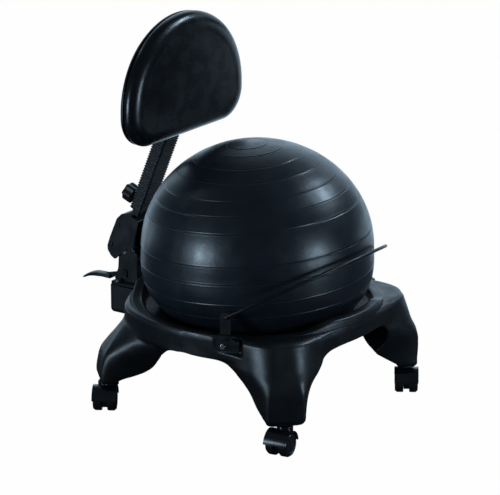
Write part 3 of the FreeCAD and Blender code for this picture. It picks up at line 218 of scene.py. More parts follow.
def soft_step(x: Array, low: float, high: float) -> Array:
    """Goes from 0 at low to 1 at high along a cubic with level ends."""
    t = np.clip((x - low) / (high - low), 0, 1)
    return t * t * (3 - 2 * t)


def smooth_larger(a: Array, b: Array, soft: float) -> Array:
    """The larger of two values, with the corner between them filled over a width of soft."""
    gap = np.clip(1 - np.abs(a - b) / soft, 0, 1)
    return np.maximum(a, b) + gap * gap * soft * 0.25


def grid_normals(grid: Array) -> Array:
    """Outward unit normals, by cross product of the steps down the rows and along them.

    Each row runs counter-clockwise, seen from above, and lies below or outside the one before.
    """
    normal = np.cross(np.gradient(grid, axis=0), np.roll(grid, -1, 1) - np.roll(grid, 1, 1))
    return normal / (np.linalg.norm(normal, axis=2, keepdims=True) + 1e-12)


def merge_into(piece: Object, others: list[Object]) -> None:
    """Adds the meshes of other objects to a piece and removes those objects."""
    joined = bmesh.new()
    joined.from_mesh(piece.data)
    for other in others:
        joined.from_mesh(other.data)
        mesh = other.data
        bpy.data.objects.remove(other)
        bpy.data.meshes.remove(mesh)
    joined.to_mesh(piece.data)
    joined.free()
    smooth_shaded(piece)


# ---- finishes


class NodeBench:
    """A node tree with a short way to add and join its nodes."""

    def __init__(self, tree: bpy.types.NodeTree, coordinates: str) -> None:
        """Takes the tree and the coordinates in which its nodes tell places."""
        self.tree = tree
        self.place = self.add("TexCoord", {}).outputs[coordinates]

    def add(self, kind: str, inputs: dict[str | int, Feed]) -> bpy.types.Node:
        """Adds a node of a kind and feeds its inputs."""
        node = self.tree.nodes.new("ShaderNode" + kind)
        self.feed(node, inputs)
        return node

    def feed(self, node: bpy.types.Node, inputs: dict[str | int, Feed]) -> None:
        """Gives each input of a node a value, or joins it to another node's output."""
        for key, source in inputs.items():
            if isinstance(source, Socket):
                self.tree.links.new(source, node.inputs[key])
            else:
                node.inputs[key].default_value = source


@dataclass(frozen=True)
class Bumps:
    """One layer of relief.

    Its pattern has scale cells in one metre and is depth metres high. It is a cloud with the
    given detail, or pebbles where there is no detail.
    """

    scale: float
    strength: float
    depth: float
    detail: float | None = None
    stretch: Triple | None = None


class FinishNodes(NodeBench):
    """Nodes that make the patterns and the relief of a finish."""

    def pattern(self, scale: float, detail: float | None, stretch: Triple | None = None) -> Socket:
        """A cloud or pebble pattern, drawn out along the axes where stretch is small."""
        place = self.place
        if stretch:
            place = self.add("Mapping", {"Vector": place, "Scale": stretch}).outputs["Vector"]
        inputs = {"Vector": place, "Scale": scale}
        if detail is None:
            return self.add("TexVoronoi", inputs).outputs["Distance"]
        return self.add("TexNoise", {**inputs, "Detail": detail}).outputs["Fac"]

    def ramp(self, source: Socket, low: float, high: float) -> Socket:
        """Turns the middle of a pattern's range into a number between low and high."""
        return self.add("MapRange", {"Value": source, "From Min": 0.35, "From Max": 0.65,
                                     "To Min": low, "To Max": high}).outputs["Result"]

    def tint(self, source: Socket, dark: Triple, light: Triple) -> Socket:
        """Turns the middle of a pattern's range into a colour between dark and light."""
        node = self.add("ValToRGB", {"Fac": source})
        for stop, at, colour in zip(node.color_ramp.elements, (0.3, 0.7), (dark, light)):
            stop.position = at
            stop.color = (*colour, 1)
        return node.outputs["Color"]

    def bump(self, source: Socket, layer: Bumps, under: Socket | None) -> Socket:
        """Raises the surface by a layer's pattern, over the relief that is there."""
        inputs = {"Height": source, "Strength": layer.strength, "Distance": layer.depth}
        if under:
            inputs["Normal"] = under
        return self.add("Bump", inputs).outputs["Normal"]


@dataclass(frozen=True)
class Surface:
    """A kind of surface: its layers of relief from below, and the fixed values of its shader."""

    layers: tuple[Bumps, ...]
    values: tuple[tuple[str, float], ...]
    grain_coloured: bool = False


# Slow waves left by cooling under a fine spark-eroded grain.
MOULDED = Surface((Bumps(18, 0.35, 0.0012, 1), Bumps(1500, 0.35, 0.00012)), (("IOR", 1.49),))
# Wide dimples from the mould under small pebbles.
RUBBER = Surface((Bumps(140, 0.18, 0.0008, 3), Bumps(950, 0.30, 0.00016)), (("IOR", 1.5),))
# Faint stretch ripples under leather-like cells.
LEATHERY = Surface((Bumps(22, 0.25, 0.0012, 2), Bumps(1250, 0.22, 0.00012)), (("IOR", 1.42),))
# Orange-peel dimples about a millimetre across.
POWDER_COAT = Surface((Bumps(700, 0.30, 0.00016, 1),), (("IOR", 1.45),))
# Fine turning marks.
TURNED_METAL = Surface((Bumps(900, 0.15, 0.00006, 4, (1, 1, 0.12)),), (("Metallic", 1.0),))
# Very shallow waves under a clear gloss.
GLOSSY = Surface((Bumps(60, 0.12, 0.0006, 2),),
                 (("IOR", 1.5), ("Coat Weight", 0.4), ("Coat Roughness", 0.12)))
# Wood grain drawn out along the width.
WOOD = Surface((Bumps(240, 0.3, 0.0002, 4, (0.06, 1, 1)),), (), True)

MOTTLE_SCALE = 14.0
GLOSS_SCALE = 32.2


@dataclass(frozen=True)
class Finish:
    """A finish of the chair: a name, a surface, a pair of near colours and a range of roughness."""

    name: str
    surface: Surface
    dark: Triple
    light: Triple
    rough: Pair

    def build(self) -> bpy.types.Material:
        """Makes the material: mottled or grained colour, uneven gloss and the layers of relief."""
        material = bpy.data.materials.new(self.name)
        material.use_nodes = True
        bench = FinishNodes(material.node_tree, "Object")
        relief = None
        for layer in self.surface.layers:
            pattern = bench.pattern(layer.scale, layer.detail, layer.stretch)
            relief = bench.bump(pattern, layer, relief)
        mottle = pattern if self.surface.grain_coloured else bench.pattern(MOTTLE_SCALE, 4)
        bench.feed(material.node_tree.nodes["Principled BSDF"], {
            "Normal": relief,
            "Base Color": bench.tint(mottle, self.dark, self.light),
            "Roughness": bench.ramp(bench.pattern(GLOSS_SCALE, 5), *self.rough),
            **dict(self.surface.values)})
        return material


class Finishes(Enum):
    """Every finish on the chair."""

    BASE = Finish("base_plastic", MOULDED, (0.003, 0.0034, 0.004), (0.0045, 0.005, 0.0058),
                  (0.37, 0.46))
    BALL = Finish("ball_rubber", RUBBER, (0.006, 0.0082, 0.0125), (0.0095, 0.0125, 0.018),
                  (0.31, 0.39))
    PLUG = Finish("plug_plastic", MOULDED, (0.5, 0.5, 0.49), (0.6, 0.6, 0.58), (0.35, 0.5))
    STEEL_BLACK = Finish("black_steel", POWDER_COAT, (0.003, 0.0034, 0.004), (0.005, 0.0055, 0.006),
                         (0.34, 0.46))
    STEEL_BRIGHT = Finish("bright_steel", TURNED_METAL, (0.46, 0.46, 0.47), (0.62, 0.62, 0.62),
                          (0.22, 0.36))
    CASTER = Finish("caster_plastic", GLOSSY, (0.0035, 0.0038, 0.0045), (0.0055, 0.006, 0.0068),
                    (0.16, 0.28))
    WHEEL = Finish("wheel_plastic", MOULDED, (0.005, 0.0054, 0.006), (0.0085, 0.009, 0.0098),
                   (0.30, 0.42))
    CAP = Finish("cap_rubber", RUBBER, (0.004, 0.0043, 0.005), (0.007, 0.0075, 0.008), (0.45, 0.6))
    BELLOWS = Finish("bellows_rubber", RUBBER, (0.004, 0.0046, 0.006), (0.007, 0.0078, 0.0095),
                     (0.34, 0.46))
    COVER = Finish("cover_plastic", MOULDED, (0.0035, 0.004, 0.005), (0.0055, 0.006, 0.0072),
                   (0.33, 0.45))
    VINYL = Finish("vinyl", LEATHERY, (0.0035, 0.0038, 0.0048), (0.0055, 0.0058, 0.007),
                   (0.24, 0.31))
    BOARD = Finish("board_wood", WOOD, (0.30, 0.20, 0.11), (0.42, 0.30, 0.18), (0.5, 0.7))


# Fasteners that sit in dark pieces and look as dark as these.
DULLED = {"cover_screws": Finishes.STEEL_BLACK, "lever_pin": Finishes.STEEL_BLACK}


@cache
def material_of(finish: Finishes) -> bpy.types.Material:
    """The material of a finish, made at first use."""
    return finish.value.build()


def dress_nodes() -> None:
    """Gives every node of the part the finish that its record slot names."""
    by_slot = {finish.value.name: finish for finish in Finishes}
    for entry in frame["record"]["subparts"]:
        finish = DULLED.get(entry["node"], by_slot[entry["material_slot"]])
        for slot in frame["nodes"][entry["node"]].material_slots:
            slot.link = "OBJECT"
            slot.material = material_of(finish)


def settle(piece: Object, body: str, finish: Finishes, *nodes: str) -> None:
    """Finishes a new piece: its material, the body that carries it and the nodes it stands for."""
    piece.data.materials.append(material_of(finish))
    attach(piece, body)
    if nodes:
        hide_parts(*nodes)
    LOG.info("piece %s on %s, %d faces", piece.name, body, len(piece.data.polygons))


# ---- sub-assemblies


@dataclass
class SeatBall:
    """The air-filled ball: a flattened sphere with rings about an axis that leans a little."""

    radius: float = 240 * MM
    half_height: float = 219 * MM
    centre: float = 335.1 * MM
    hump: float = 0.038
    hump_depth: float = 136 * MM
    lean_deg: float = 4.8
    lean_about_deg: float = 35.0
    rings: tuple[float, ...] = (-22, -13, -2.5, 7, 24.5, 33.5, 42, 52, 62, 72, 80)
    columns: int = 300
    # In millimetres: depth and half width of a ring's groove; rise, place and half width of the
    # shoulders beside it.
    groove: Pair = (0.85, 1.0)
    shoulder: Triple = (0.2, 2.6, 1.5)
    # In degrees: how far the rows reach, half the band of close rows at a ring, the least step.
    reach_deg: float = 88.5
    ring_band_deg: float = 1.35
    least_step_deg: float = 0.12

    def relief(self, latitude: Array) -> Array:
        """Height of the skin by latitude: a narrow groove at each ring between two soft shoulders.

        Groove and shoulders are bell curves of the distance from the ring along the skin.
        """
        arc = np.radians(latitude[:, None] - np.array(self.rings)[None, :]) * self.radius / MM
        depth, half = self.groove
        rise, place, spread = self.shoulder
        dip = -depth * np.exp(-((arc / half) ** 2))
        shoulders = rise * np.exp(-(((np.abs(arc) - place) / spread) ** 2))
        return (dip + shoulders).sum(1) * MM

    def latitudes(self) -> Array:
        """Rows of latitude: even steps, with closer ones across each ring."""
        even = np.linspace(-self.reach_deg, self.reach_deg, 130)
        band = np.linspace(-self.ring_band_deg, self.ring_band_deg, 13)
        near = (np.array(self.rings)[:, None] + band[None, :]).ravel()
        rows = np.unique(np.round(np.r_[even, near], 3))
        return rows[np.r_[True, np.diff(rows) > self.least_step_deg]]

    def build(self) -> None:
        """Makes the ball.

        A point at each latitude and longitude of a sphere is pushed out by the relief and leaned
        about a level axis. Its height is then scaled to the flattened half height, and the lower
        half is made fuller.
        """
        latitude = self.latitudes()
        reach = self.radius + self.relief(latitude)
        longitude = np.linspace(0, 2 * np.pi, self.columns, endpoint=False)
        across, up = polar(reach, np.radians(latitude)).T[..., None]
        points = np.dstack([polar(across, longitude), np.repeat(up, self.columns, 1)])
        points = points @ self.lean().T
        points[..., 2] *= self.half_height / self.radius
        points[..., :2] *= self.fullness(points[..., 2])[..., None]
        points[..., 2] += self.centre
        settle(grid_piece("ball_skin", points), "base", Finishes.BALL, "ball")

    def fullness(self, rise: Array) -> Array:
        """How much wider the ball is than an ellipse: a soft hump just above the seat ring.

        The sitter's weight presses the lower half out; the hump is the sine of the share of the
        way from the middle down to the ring, leaning towards the ring.
        """
        share = np.clip(-rise / self.hump_depth, 0, 1)
        return 1 + self.hump * np.sin(np.pi * share**1.5)

    def lean(self) -> Array:
        """Turning matrix about the level lean axis, by the lean angle backwards."""
        a = math.radians(self.lean_about_deg)
        k = np.array([math.cos(a), math.sin(a), 0.0])
        t = math.radians(-self.lean_deg)
        cross = np.array([[0, -k[2], k[1]], [k[2], 0, -k[0]], [-k[1], k[0], 0]])
        return np.eye(3) + math.sin(t) * cross + (1 - math.cos(t)) * cross @ cross


@dataclass
class BaseMoulding:
    """The moulded base: bowl, scalloped rim, skirt and four legs in one thin shell.

    Every point of the outside is a plan radius worked out from the angle round the ball and the
    height, so that the legs flow out of the skirt as a moulding does.
    """

    rim_inner: float = 238.0
    rim_outer: float = 262.0
    rim_low: float = 222.0
    rim_high: float = 240.0
    lip_half: float = 84.0
    lip_foot_half: float = 150.0
    skirt_bottom: float = 173.0
    wall: float = 5.0
    seat_ring: float = 190.0
    seat_height: float = 201.0
    bowl_depth: float = 96.0
    leg_bottom: float = 58.0
    leg_reach: float = 333.0
    shoulders: Pair = (301.0, 266.0)
    foot_half: float = 42.0
    root_half: float = 125.0
    root: float = 202.0
    top_round: float = 12.0
    foot_round: float = 13.0
    soft: float = 12.0
    soft_top: float = 44.0
    corner: float = 34.0
    bulge: float = 4.0
    columns: int = 576
    # Two outlines space the columns: their heights and weights, and the lower one's least radius.
    spacing: Table = ((95.0, 0.6), (190.0, 1.0))
    spacing_least: float = 205.0
    lip_soft: float = 8.0
    edge_round: float = 1.6
    # How far the skirt leans in down to its lower edge, and how fast it draws in under that.
    draft: float = 2.0
    undercut: float = 1.25
    # Heights over which the blend between skirt and legs grows.
    blend_heights: Pair = (150.0, 216.0)
    # Where the bail clamps stand, in degrees, the angles over which their flat seats begin and
    # end, and the heights over which they begin.
    clamp_angles: Pair = (200.0, 340.0)
    seat_angles: tuple[float, float, float, float] = (-4.6, -3.6, 7.8, 9.2)
    seat_heights: Pair = (184.0, 191.0)
    # Over the rim's crest: radius, share of the lip's rise, and drop.
    crest: Table = (
        (238.0, 0.0, -5.0), (238.1, 0.45, -3.6), (238.6, 0.8, -2.4), (239.9, 0.97, -0.8),
        (242.5, 1.0, -0.1), (247.0, 1.0, 0.0), (252.0, 1.0, 0.0), (256.5, 1.0, -0.05),
        (259.0, 0.97, -0.25))
    # Down the lip's outer wall: share of its rise, and how far out it has spread from its radius.
    lip_wall: Table = ((0.84, 1.5), (0.6, 2.3), (0.3, 2.8), (0.08, 3.3))
    lip_radius: float = 259.3
    lip_drop: float = 0.3
    # Steps outwards and down that keep the rows apart where the lip is flat.
    row_gap: Pair = (0.15, 0.1)
    # Where the shoulders begin, how far the lip pushes that out and how far it lies under the rim.
    shoulder_radius: float = 259.9
    shoulder_spread: float = 2.6
    shoulder_drop: float = 0.45
    # A shoulder's least width, the share of its rows that are level, and the width of its rounded
    # edge as a multiple of the depth.
    shoulder_least: float = 0.3
    shoulder_level: float = 0.45
    shoulder_bend: float = 1.6
    # Radius and height along the underside, from the rim to the middle.
    underside: Table = (
        (248, 215.5), (243, 212), (238, 204), (231, 199.2), (210, 196.4), (194, 195), (182, 189),
        (165, 170), (121, 133.5), (64, 109.5), (3, 99.9))
    # Over a leg's foot plate: share of its size, and height.
    plate: Table = (
        (0.05, 58.1), (0.5, 58.1), (0.96, 58.2), (1.0, 59.2), (1.0, 61.6), (0.96, 62.6),
        (0.5, 62.6), (0.05, 62.6))
    plate_middle: float = 311.0
    plate_half: Pair = (17.5, 37.5)
    # Share of the leg's height, its outward sweep in front, at the rear, and its flare.
    stations: Table = (
        (0.0, 1.0, 1.0, 0.0), (0.12, 1.006, 1.01, 0.12), (0.26, 1.05, 0.965, 0.25),
        (0.39, 1.075, 0.88, 0.46), (0.52, 0.96, 0.67, 0.76), (0.66, 0.64, 0.39, 1.0),
        (0.83, 0.36, 0.1, 1.0), (0.96, 0.12, 0.02, 1.0), (1.0, 0.0, 0.0, 0.97))
    # Angle from the leg's middle, then the height of the moulding's lower edge there: between the
    # front legs, on the sides of the front legs, and round the rear legs.
    lower_edge: Table = (
        (0, 58.2, 58.2, 58.2), (5, 58.2, 58.2, 58.2), (6, 58.8, 58.6, 58.8), (7, 60.5, 59.4, 61),
        (8, 65, 61.5, 67), (9, 73, 65, 74.5), (10, 81, 71, 79), (11, 88, 79, 83.5),
        (12, 94, 87, 88), (13, 100, 95, 93), (14, 107, 102, 98), (15, 118, 109, 103),
        (16, 133, 117, 108), (17, 147, 126, 112.5), (18, 158, 135, 117), (20, 171, 148.5, 125),
        (22, 177, 157, 132), (24, 180.5, 162.5, 139.5), (28, 183.5, 168, 151.5),
        (32, 185.5, 170, 160.5), (36, 186.5, 171, 168), (40, 187, 173, 172.5),
        (45, 187.5, 175, 175))

    def leg_radius(self, angle: Array, height: Numbers) -> Array:
        """Plan radius of the nearest leg along a ray.

        At each height the leg is a trapezoid with a flat outer face and two side faces that
        spread towards the root. The ray's distance to the outer face and to the side face are
        joined by a smooth smaller-of, which rounds the corner.

        Args:
            angle: Angles round the ball, in degrees.
            height: One height over the floor, or one for each angle.

        Returns:
            The radius, in millimetres.
        """
        off = np.radians(np.abs((angle % 90) - 45))
        front = (angle % 360) > 180
        places, front_sweep, rear_sweep, flares = np.array(self.stations).T
        share = np.clip((height - self.leg_bottom) / (self.rim_low - self.leg_bottom), 0, 1)
        sweeps = [curve_at(share, places, column) for column in (front_sweep, rear_sweep)]
        sweep = np.where(front, *sweeps)
        flare = curve_at(share, places, flares)
        shoulder = np.where(front, *self.shoulders)
        face = shoulder + (self.leg_reach - shoulder) * sweep
        half = self.foot_half + self.bulge * np.minimum(share, 1 - share)
        root_half = half + (self.root_half - self.foot_half) * flare
        over = np.clip(height - (self.rim_low - self.top_round), 0, self.top_round)
        under = np.clip(self.leg_bottom + self.foot_round - height, 0, self.foot_round)
        trim = (self.top_round - np.sqrt(self.top_round**2 - over**2)
                + self.foot_round - np.sqrt(self.foot_round**2 - under**2))
        face, half, root_half = face - trim, half - trim, root_half - trim
        slope = (root_half - half) / (face - self.root)
        to_face = face / np.cos(off)
        to_side = (half + slope * face) / (np.sin(off) + slope * np.cos(off) + 1e-6)
        return -smooth_larger(-to_face, -to_side, self.corner)

    def outer_radius(self, angle: Array, height: Numbers) -> Array:
        """Plan radius of the outside: a smooth larger-of the skirt and the nearest leg.

        The skirt leans in slightly with depth and draws in fast under its lower edge. Beside each
        bail clamp the moulding is cut back to a flat seat.
        """
        lean = (self.rim_low - height) / (self.rim_low - self.skirt_bottom)
        skirt = self.rim_outer - self.draft * lean
        skirt = skirt - self.undercut * np.clip(self.skirt_bottom - height, 0, None)
        soft = self.soft + (self.soft_top - self.soft) * soft_step(height, *self.blend_heights)
        radius = smooth_larger(skirt, self.leg_radius(angle, height), soft)
        for clamp in self.clamp_angles:
            toward_front = 1 if clamp < 270 else -1
            ahead = ((angle - clamp + 180) % 360 - 180) * toward_front
            seat = soft_step(ahead, *self.seat_angles[:2]) * soft_step(height, *self.seat_heights)
            seat = seat * (1 - soft_step(ahead, *self.seat_angles[2:]))
            limit = self.rim_outer / np.cos(np.radians(ahead))
            radius = radius - seat * np.clip(radius - limit, 0, None)
        return radius

    def rim_height(self, angle: Array) -> Array:
        """Height of the rim: raised over the front and the rear, with soft slopes at the sides."""
        across = np.abs(self.rim_outer * np.cos(np.radians(angle)))
        fall = soft_step(across, self.lip_half - self.lip_soft, self.lip_foot_half + self.lip_soft)
        return self.rim_low + (self.rim_high - self.rim_low) * (1 - fall)

    def angles(self) -> Array:
        """Columns round the ball, closer together where the legs' side faces run along the ray.

        The running length of two level outlines, the legs' low down and the skirt's higher up, is
        divided evenly.
        """
        fine = np.linspace(0, 360, 7201)
        (low, low_weight), (high, high_weight) = self.spacing
        legs = np.maximum(self.leg_radius(fine, low), self.spacing_least)
        skirt = self.outer_radius(fine, high)
        length = np.zeros(len(fine))
        for radius, weight in ((legs, low_weight), (skirt, high_weight)):
            steps = np.linalg.norm(np.diff(polar(radius, np.radians(fine)), axis=0), axis=1)
            length[1:] += weight * np.cumsum(steps)
        return np.interp(np.linspace(0, length[-1], self.columns, endpoint=False), length, fine)

    def bowl_rows(self) -> Array:
        """Radius and height along the bowl's upper side, from near its centre to the rim."""
        seat, ring = self.seat_height, self.seat_ring
        floor = seat - self.bowl_depth
        inside = smooth_profile([
            (2, floor), (ring * 0.34, floor + self.bowl_depth * 0.1),
            (ring * 0.64, floor + self.bowl_depth * 0.35),
            (ring * 0.87, floor + self.bowl_depth * 0.74), (ring - 4, seat - 6)], 22)
        edge = smooth_profile([(ring - 1, seat - 1.2), (ring + 2, seat), (ring + 8, seat + 0.2),
                               (self.rim_inner - 12, seat + 2.4), (self.rim_inner - 5, seat + 6),
                               (self.rim_inner - 1.2, self.rim_low - 8)], 16)
        return np.vstack([inside, edge])

    def build(self) -> None:
        """Makes the moulding.

        Rows run from the bowl's centre over the rim, across the legs' shoulders, down the outside
        to the lower edge, and back up the inside, which is the outside moved in along its own
        normal by the wall.
        """
        angle = self.angles()
        rows = [level_ring(angle, radius, height) for radius, height in self.bowl_rows()]
        lift = (self.rim_height(angle) - self.rim_low) / (self.rim_high - self.rim_low)
        outside = self.shoulder_rows(angle, lift) + self.side_rows(angle)
        grid = np.array(outside)
        inside = grid - self.wall * grid_normals(grid)
        turn = 0.5 * (grid[-1] + inside[-1])
        turn[:, 2] -= self.edge_round
        rows += [*self.rim_rows(angle, lift), *outside, turn]
        back = inside[::-1]
        rows += list(back[np.r_[0:6, 6:len(back):2]])
        rows += [level_ring(angle, *pair) for pair in smooth_profile(self.underside, 26)]
        shell = grid_piece("base_moulding", np.array(rows) * MM)
        feet = [self.foot(leg) for leg in (45, 135, 225, 315)]
        merge_into(shell, feet)
        settle(shell, "base", Finishes.BASE, "base_shell")

    def rim_rows(self, angle: Array, lift: Array) -> list[Array]:
        """Rows up the rim's inner wall, round its crest and down the lip's outer wall.

        Each row is a radius with a height taken as a share of the lip's own rise.

        Args:
            angle: The columns' angles, in degrees.
            lift: How far the lip is raised at each, from 0 to 1.

        Returns:
            The rows, in millimetres.
        """
        low, rise = self.rim_low, (self.rim_high - self.rim_low) * lift
        rows = [level_ring(angle, radius, low + rise * share + drop)
                for radius, share, drop in self.crest]
        for share, out in self.lip_wall:
            radius = self.lip_radius + out * lift + self.row_gap[0] * (1 - share) * (1 - lift)
            drop = self.lip_drop + self.row_gap[1] * (1 - share)
            rows.append(level_ring(angle, radius, low + rise * share - drop))
        return rows

    def shoulder_rows(self, angle: Array, lift: Array) -> list[Array]:
        """Rows from the rim out across each leg's shoulder and over its rounded edge.

        The path is level and then a quarter of an ellipse as deep as the top rounding; where there
        is no leg the ellipse is narrow, and rounds the rim's own edge.
        """
        low = self.rim_low - self.top_round
        start = self.shoulder_radius + self.shoulder_spread * lift
        width = np.maximum(self.outer_radius(angle, low) - start, self.shoulder_least)
        bend = np.minimum(width, self.top_round * self.shoulder_bend)
        rows = []
        for share in np.linspace(0.06, 1, 15):
            flat = min(share / self.shoulder_level, 1)
            quarter = max(share - self.shoulder_level, 0) / (1 - self.shoulder_level) * np.pi / 2
            radius = start + (width - bend) * flat + bend * np.sin(quarter)
            height = low + (self.top_round - self.shoulder_drop) * np.cos(quarter)
            rows.append(level_ring(angle, radius, height))
        return rows

    def side_rows(self, angle: Array) -> list[Array]:
        """Rows down the outside, spread evenly between the shoulder and the lower edge."""
        high = self.rim_low - self.top_round
        off, turn = np.abs((angle % 90) - 45), angle % 360
        places, *heights = np.array(self.lower_edge).T
        front, sides, rear = (curve_at(off, places, column) for column in heights)
        edge = np.where((turn > 225) & (turn < 315), front, np.where(turn > 180, sides, rear))
        levels = [high + (edge - high) * share for share in np.linspace(0.02, 1, 46)]
        return [level_ring(angle, self.outer_radius(angle, height), height) for height in levels]

    def foot(self, leg: int) -> Object:
        """The leg's underside: a rounded plate into which the caster's stem goes.

        The plate is a squarish oval, drawn in at its upper and lower edge.
        """
        around = np.linspace(0, 2 * np.pi, 72, endpoint=False)
        oval = squarish(polar(1, around), 0.5) * self.plate_half
        along = polar(1, math.radians(leg))
        turn = np.array([along, [-along[1], along[0]]])
        rows = [np.column_stack([(oval * share + [self.plate_middle, 0]) @ turn,
                                 np.full(len(oval), height)]) for share, height in self.plate]
        return grid_piece(f"leg_foot_{leg}", np.array(rows) * MM, flip=True)


@dataclass
class Backrest:
    """The cushion: a rounded D of vinyl over foam, crowned in front and rolled at its edge."""

    half: float = 195.0
    bottom: float = 545.0
    top: float = 800.0
    front: float = 164.8
    corner: float = 68.0
    side_radius: float = 172.0
    blend: float = 55.0
    crown: float = 3.2
    middle: float = 666.5
    around: int = 260
    # Inset from the outline and depth from the front, round the rolled edge.
    roll: Table = (
        (38, -0.2), (30, 0.0), (22, 0.9), (15, 2.9), (9, 6.2), (4.2, 10.6), (1.2, 15.6),
        (0.2, 20.5), (0.5, 25), (2, 28.8), (4.6, 31.2), (8, 31.7))
    # The same over the lip round the board, down to the bed on which it lies.
    lip: Table = ((11.4, 31.6), (11.8, 30.5), (11.9, 24.5), (13.5, 23.6))

    def outline(self) -> Array:
        """The D outline in X and Z: flat foot, round lower corners, upright sides and a round top.

        Arcs of the corner, side and crown radii are sampled and resampled by running length.
        """
        cosine, sine = math.cos(math.radians(self.blend)), math.sin(math.radians(self.blend))
        side_x = self.half - self.side_radius
        crown = (side_x + self.side_radius * cosine) / cosine
        side_z = self.top - crown + (crown - self.side_radius) * sine
        crown_z = self.top - crown
        corner_x, corner_z = self.half - self.corner, self.bottom + self.corner

        def arc(x: float, z: float, r: float, first: float, last: float) -> Array:
            """Points of one arc, in degrees."""
            return polar(r, np.radians(np.linspace(first, last, 40))) + [x, z]

        loop = np.vstack([
            arc(corner_x, corner_z, self.corner, -90, 0),
            arc(side_x, side_z, self.side_radius, 0, self.blend),
            arc(0, crown_z, crown, self.blend, 180 - self.blend),
            arc(-side_x, side_z, self.side_radius, 180 - self.blend, 180),
            arc(-corner_x, corner_z, self.corner, 180, 270)])
        return resampled(loop, self.around)

    def build(self) -> None:
        """Makes the cushion.

        Each row is the outline drawn in along its own inward normal by an inset, at a depth from
        the front: shrinking rows cover the crowned front, then the rolled edge, the lip over the
        board and the flat bed on which the board lies.
        """
        loop = self.outline()
        tangent = np.roll(loop, -1, 0) - np.roll(loop, 1, 0)
        tangent /= np.linalg.norm(tangent, axis=1)[:, None]
        inward = np.stack([-tangent[:, 1], tangent[:, 0]], 1)
        centre = np.array([0.0, self.middle])
        rows: list[Array] = []

        def add(inset: float, depth: float, share: float = 1.0) -> None:
            """Adds the outline drawn in by an inset, shrunk to a share, at a depth."""
            ring = centre + (loop + inward * inset - centre) * share
            rows.append(np.insert(ring, 1, self.front + depth, axis=1))

        edge, front = self.roll[0]
        for share in np.linspace(0.03, 0.97, 26):
            add(edge, front - self.crown * (1 - share**2), share)
        for inset, depth in (*smooth_profile(self.roll, 44), *self.lip):
            add(inset, depth)
        for share in np.linspace(0.9, 0.05, 12):
            add(*self.lip[-1], share)
        points = np.array(rows) * MM
        piece = grid_piece("backrest_cushion", points, flip=True)
        settle(piece, "back_slide", Finishes.VINYL, "backrest_pad")


@dataclass
class PostCover:
    """The ribbed rubber sleeve over the sliding bar."""

    lean_deg: float = 22.4
    origin: Triple = (0.0, 302.5, 350.0)
    start: float = 13.0
    pitch: float = 6.0
    count: int = 35
    half: Pair = (23.6, 12.7)
    swell: float = 1.8
    bore: Pair = (22.3, 11.4)
    # Middle and height of the ribs' wave, which is cut off at 0 and 1.
    wave: Pair = (0.5, 0.72)
    middle: Pair = (0.0, 1.5)
    # Corner radius of the sleeve between ribs, how much a rib adds to it, and the bore's.
    corners: Triple = (2.4, 0.6, 1.4)

    def place(self, local: Array) -> Array:
        """Moves points from the post's axes, in millimetres, to the part's frame in metres.

        The axes run across the post, out of its rear face and along it.
        """
        cosine, sine = polar(1, math.radians(self.lean_deg))
        axes = np.array([[1, 0, 0], [0, cosine, sine], [0, -sine, cosine]])
        return (local @ axes + self.origin) * MM

    def build(self) -> None:
        """Makes the sleeve.

        The outline is a rounded rectangle whose half sizes swell and sink along the post as a
        rounded wave, one wave for each rib; the inner wall is a plain rounded rectangle.
        """
        per_rib = 8
        rib = np.arange(self.count * per_rib + 1) / per_rib
        along = self.start + rib * self.pitch
        wave = soft_step(self.wave[0] - self.wave[1] * np.cos(2 * np.pi * rib), 0, 1)
        corner, more, bore_corner = self.corners
        loops = [rounded_box_loop(np.add(self.half, self.swell * rise), corner + more * rise, 64)
                 for rise in wave]
        loops += 2 * [rounded_box_loop(self.bore, bore_corner, 64)]
        rows = [np.insert(loop + self.middle, 2, level, axis=1)
                for loop, level in zip(loops, (*along, along[-1], along[0]))]
        piece = grid_piece("post_sleeve", self.place(np.array(rows)), Closing.RING)
        settle(piece, "back_slide", Finishes.BELLOWS, "post_bellows")


@dataclass
class HandKnob:
    """The lobed knob that locks the height of the back."""

    radius: float = 20.0
    lobes: int = 6
    # Depth of the hollows between lobes, and the shares of the radius over which they begin.
    hollow: float = 0.17
    hollow_range: Pair = (0.42, 0.92)
    along: float = 29.0
    back: float = 25.5
    # Share of the radius and height over the hub, from the hub's foot to the middle of the face.
    profile: Table = (
        (0.24, -3), (0.44, -3), (0.45, -0.6), (0.62, 0.2), (0.9, 0.5), (0.985, 2), (1.0, 5),
        (1.0, 12), (1.0, 19), (0.975, 22.3), (0.9, 23.8), (0.74, 24), (0.6, 23.4), (0.3, 22.8),
        (0.08, 22.7))

    def build(self, post: PostCover) -> None:
        """Makes the knob.

        The radius is a soft wave of the angle, full at each lobe and drawn in between, and the
        profile from hub to crown is a smooth curve with a rounded rim and a dished face.

        Args:
            post: The post whose axes place the knob.
        """
        angle = np.linspace(0, 2 * np.pi, 144, endpoint=False)
        lobe = 0.5 + 0.5 * np.cos(self.lobes * angle)
        radius, height = smooth_profile(self.profile, 60).T[..., None]
        share = np.interp(radius, self.hollow_range, (0, 1))
        reach = self.radius * radius * (1 - self.hollow * share * (1 - lobe) ** 0.8)
        side, up = np.moveaxis(polar(reach, angle), -1, 0)
        local = np.dstack([side, self.back + height + 0 * side, self.along + up])
        piece = grid_piece("height_knob_grip", post.place(local))
        settle(piece, "height_knob_body", Finishes.COVER, "height_knob")


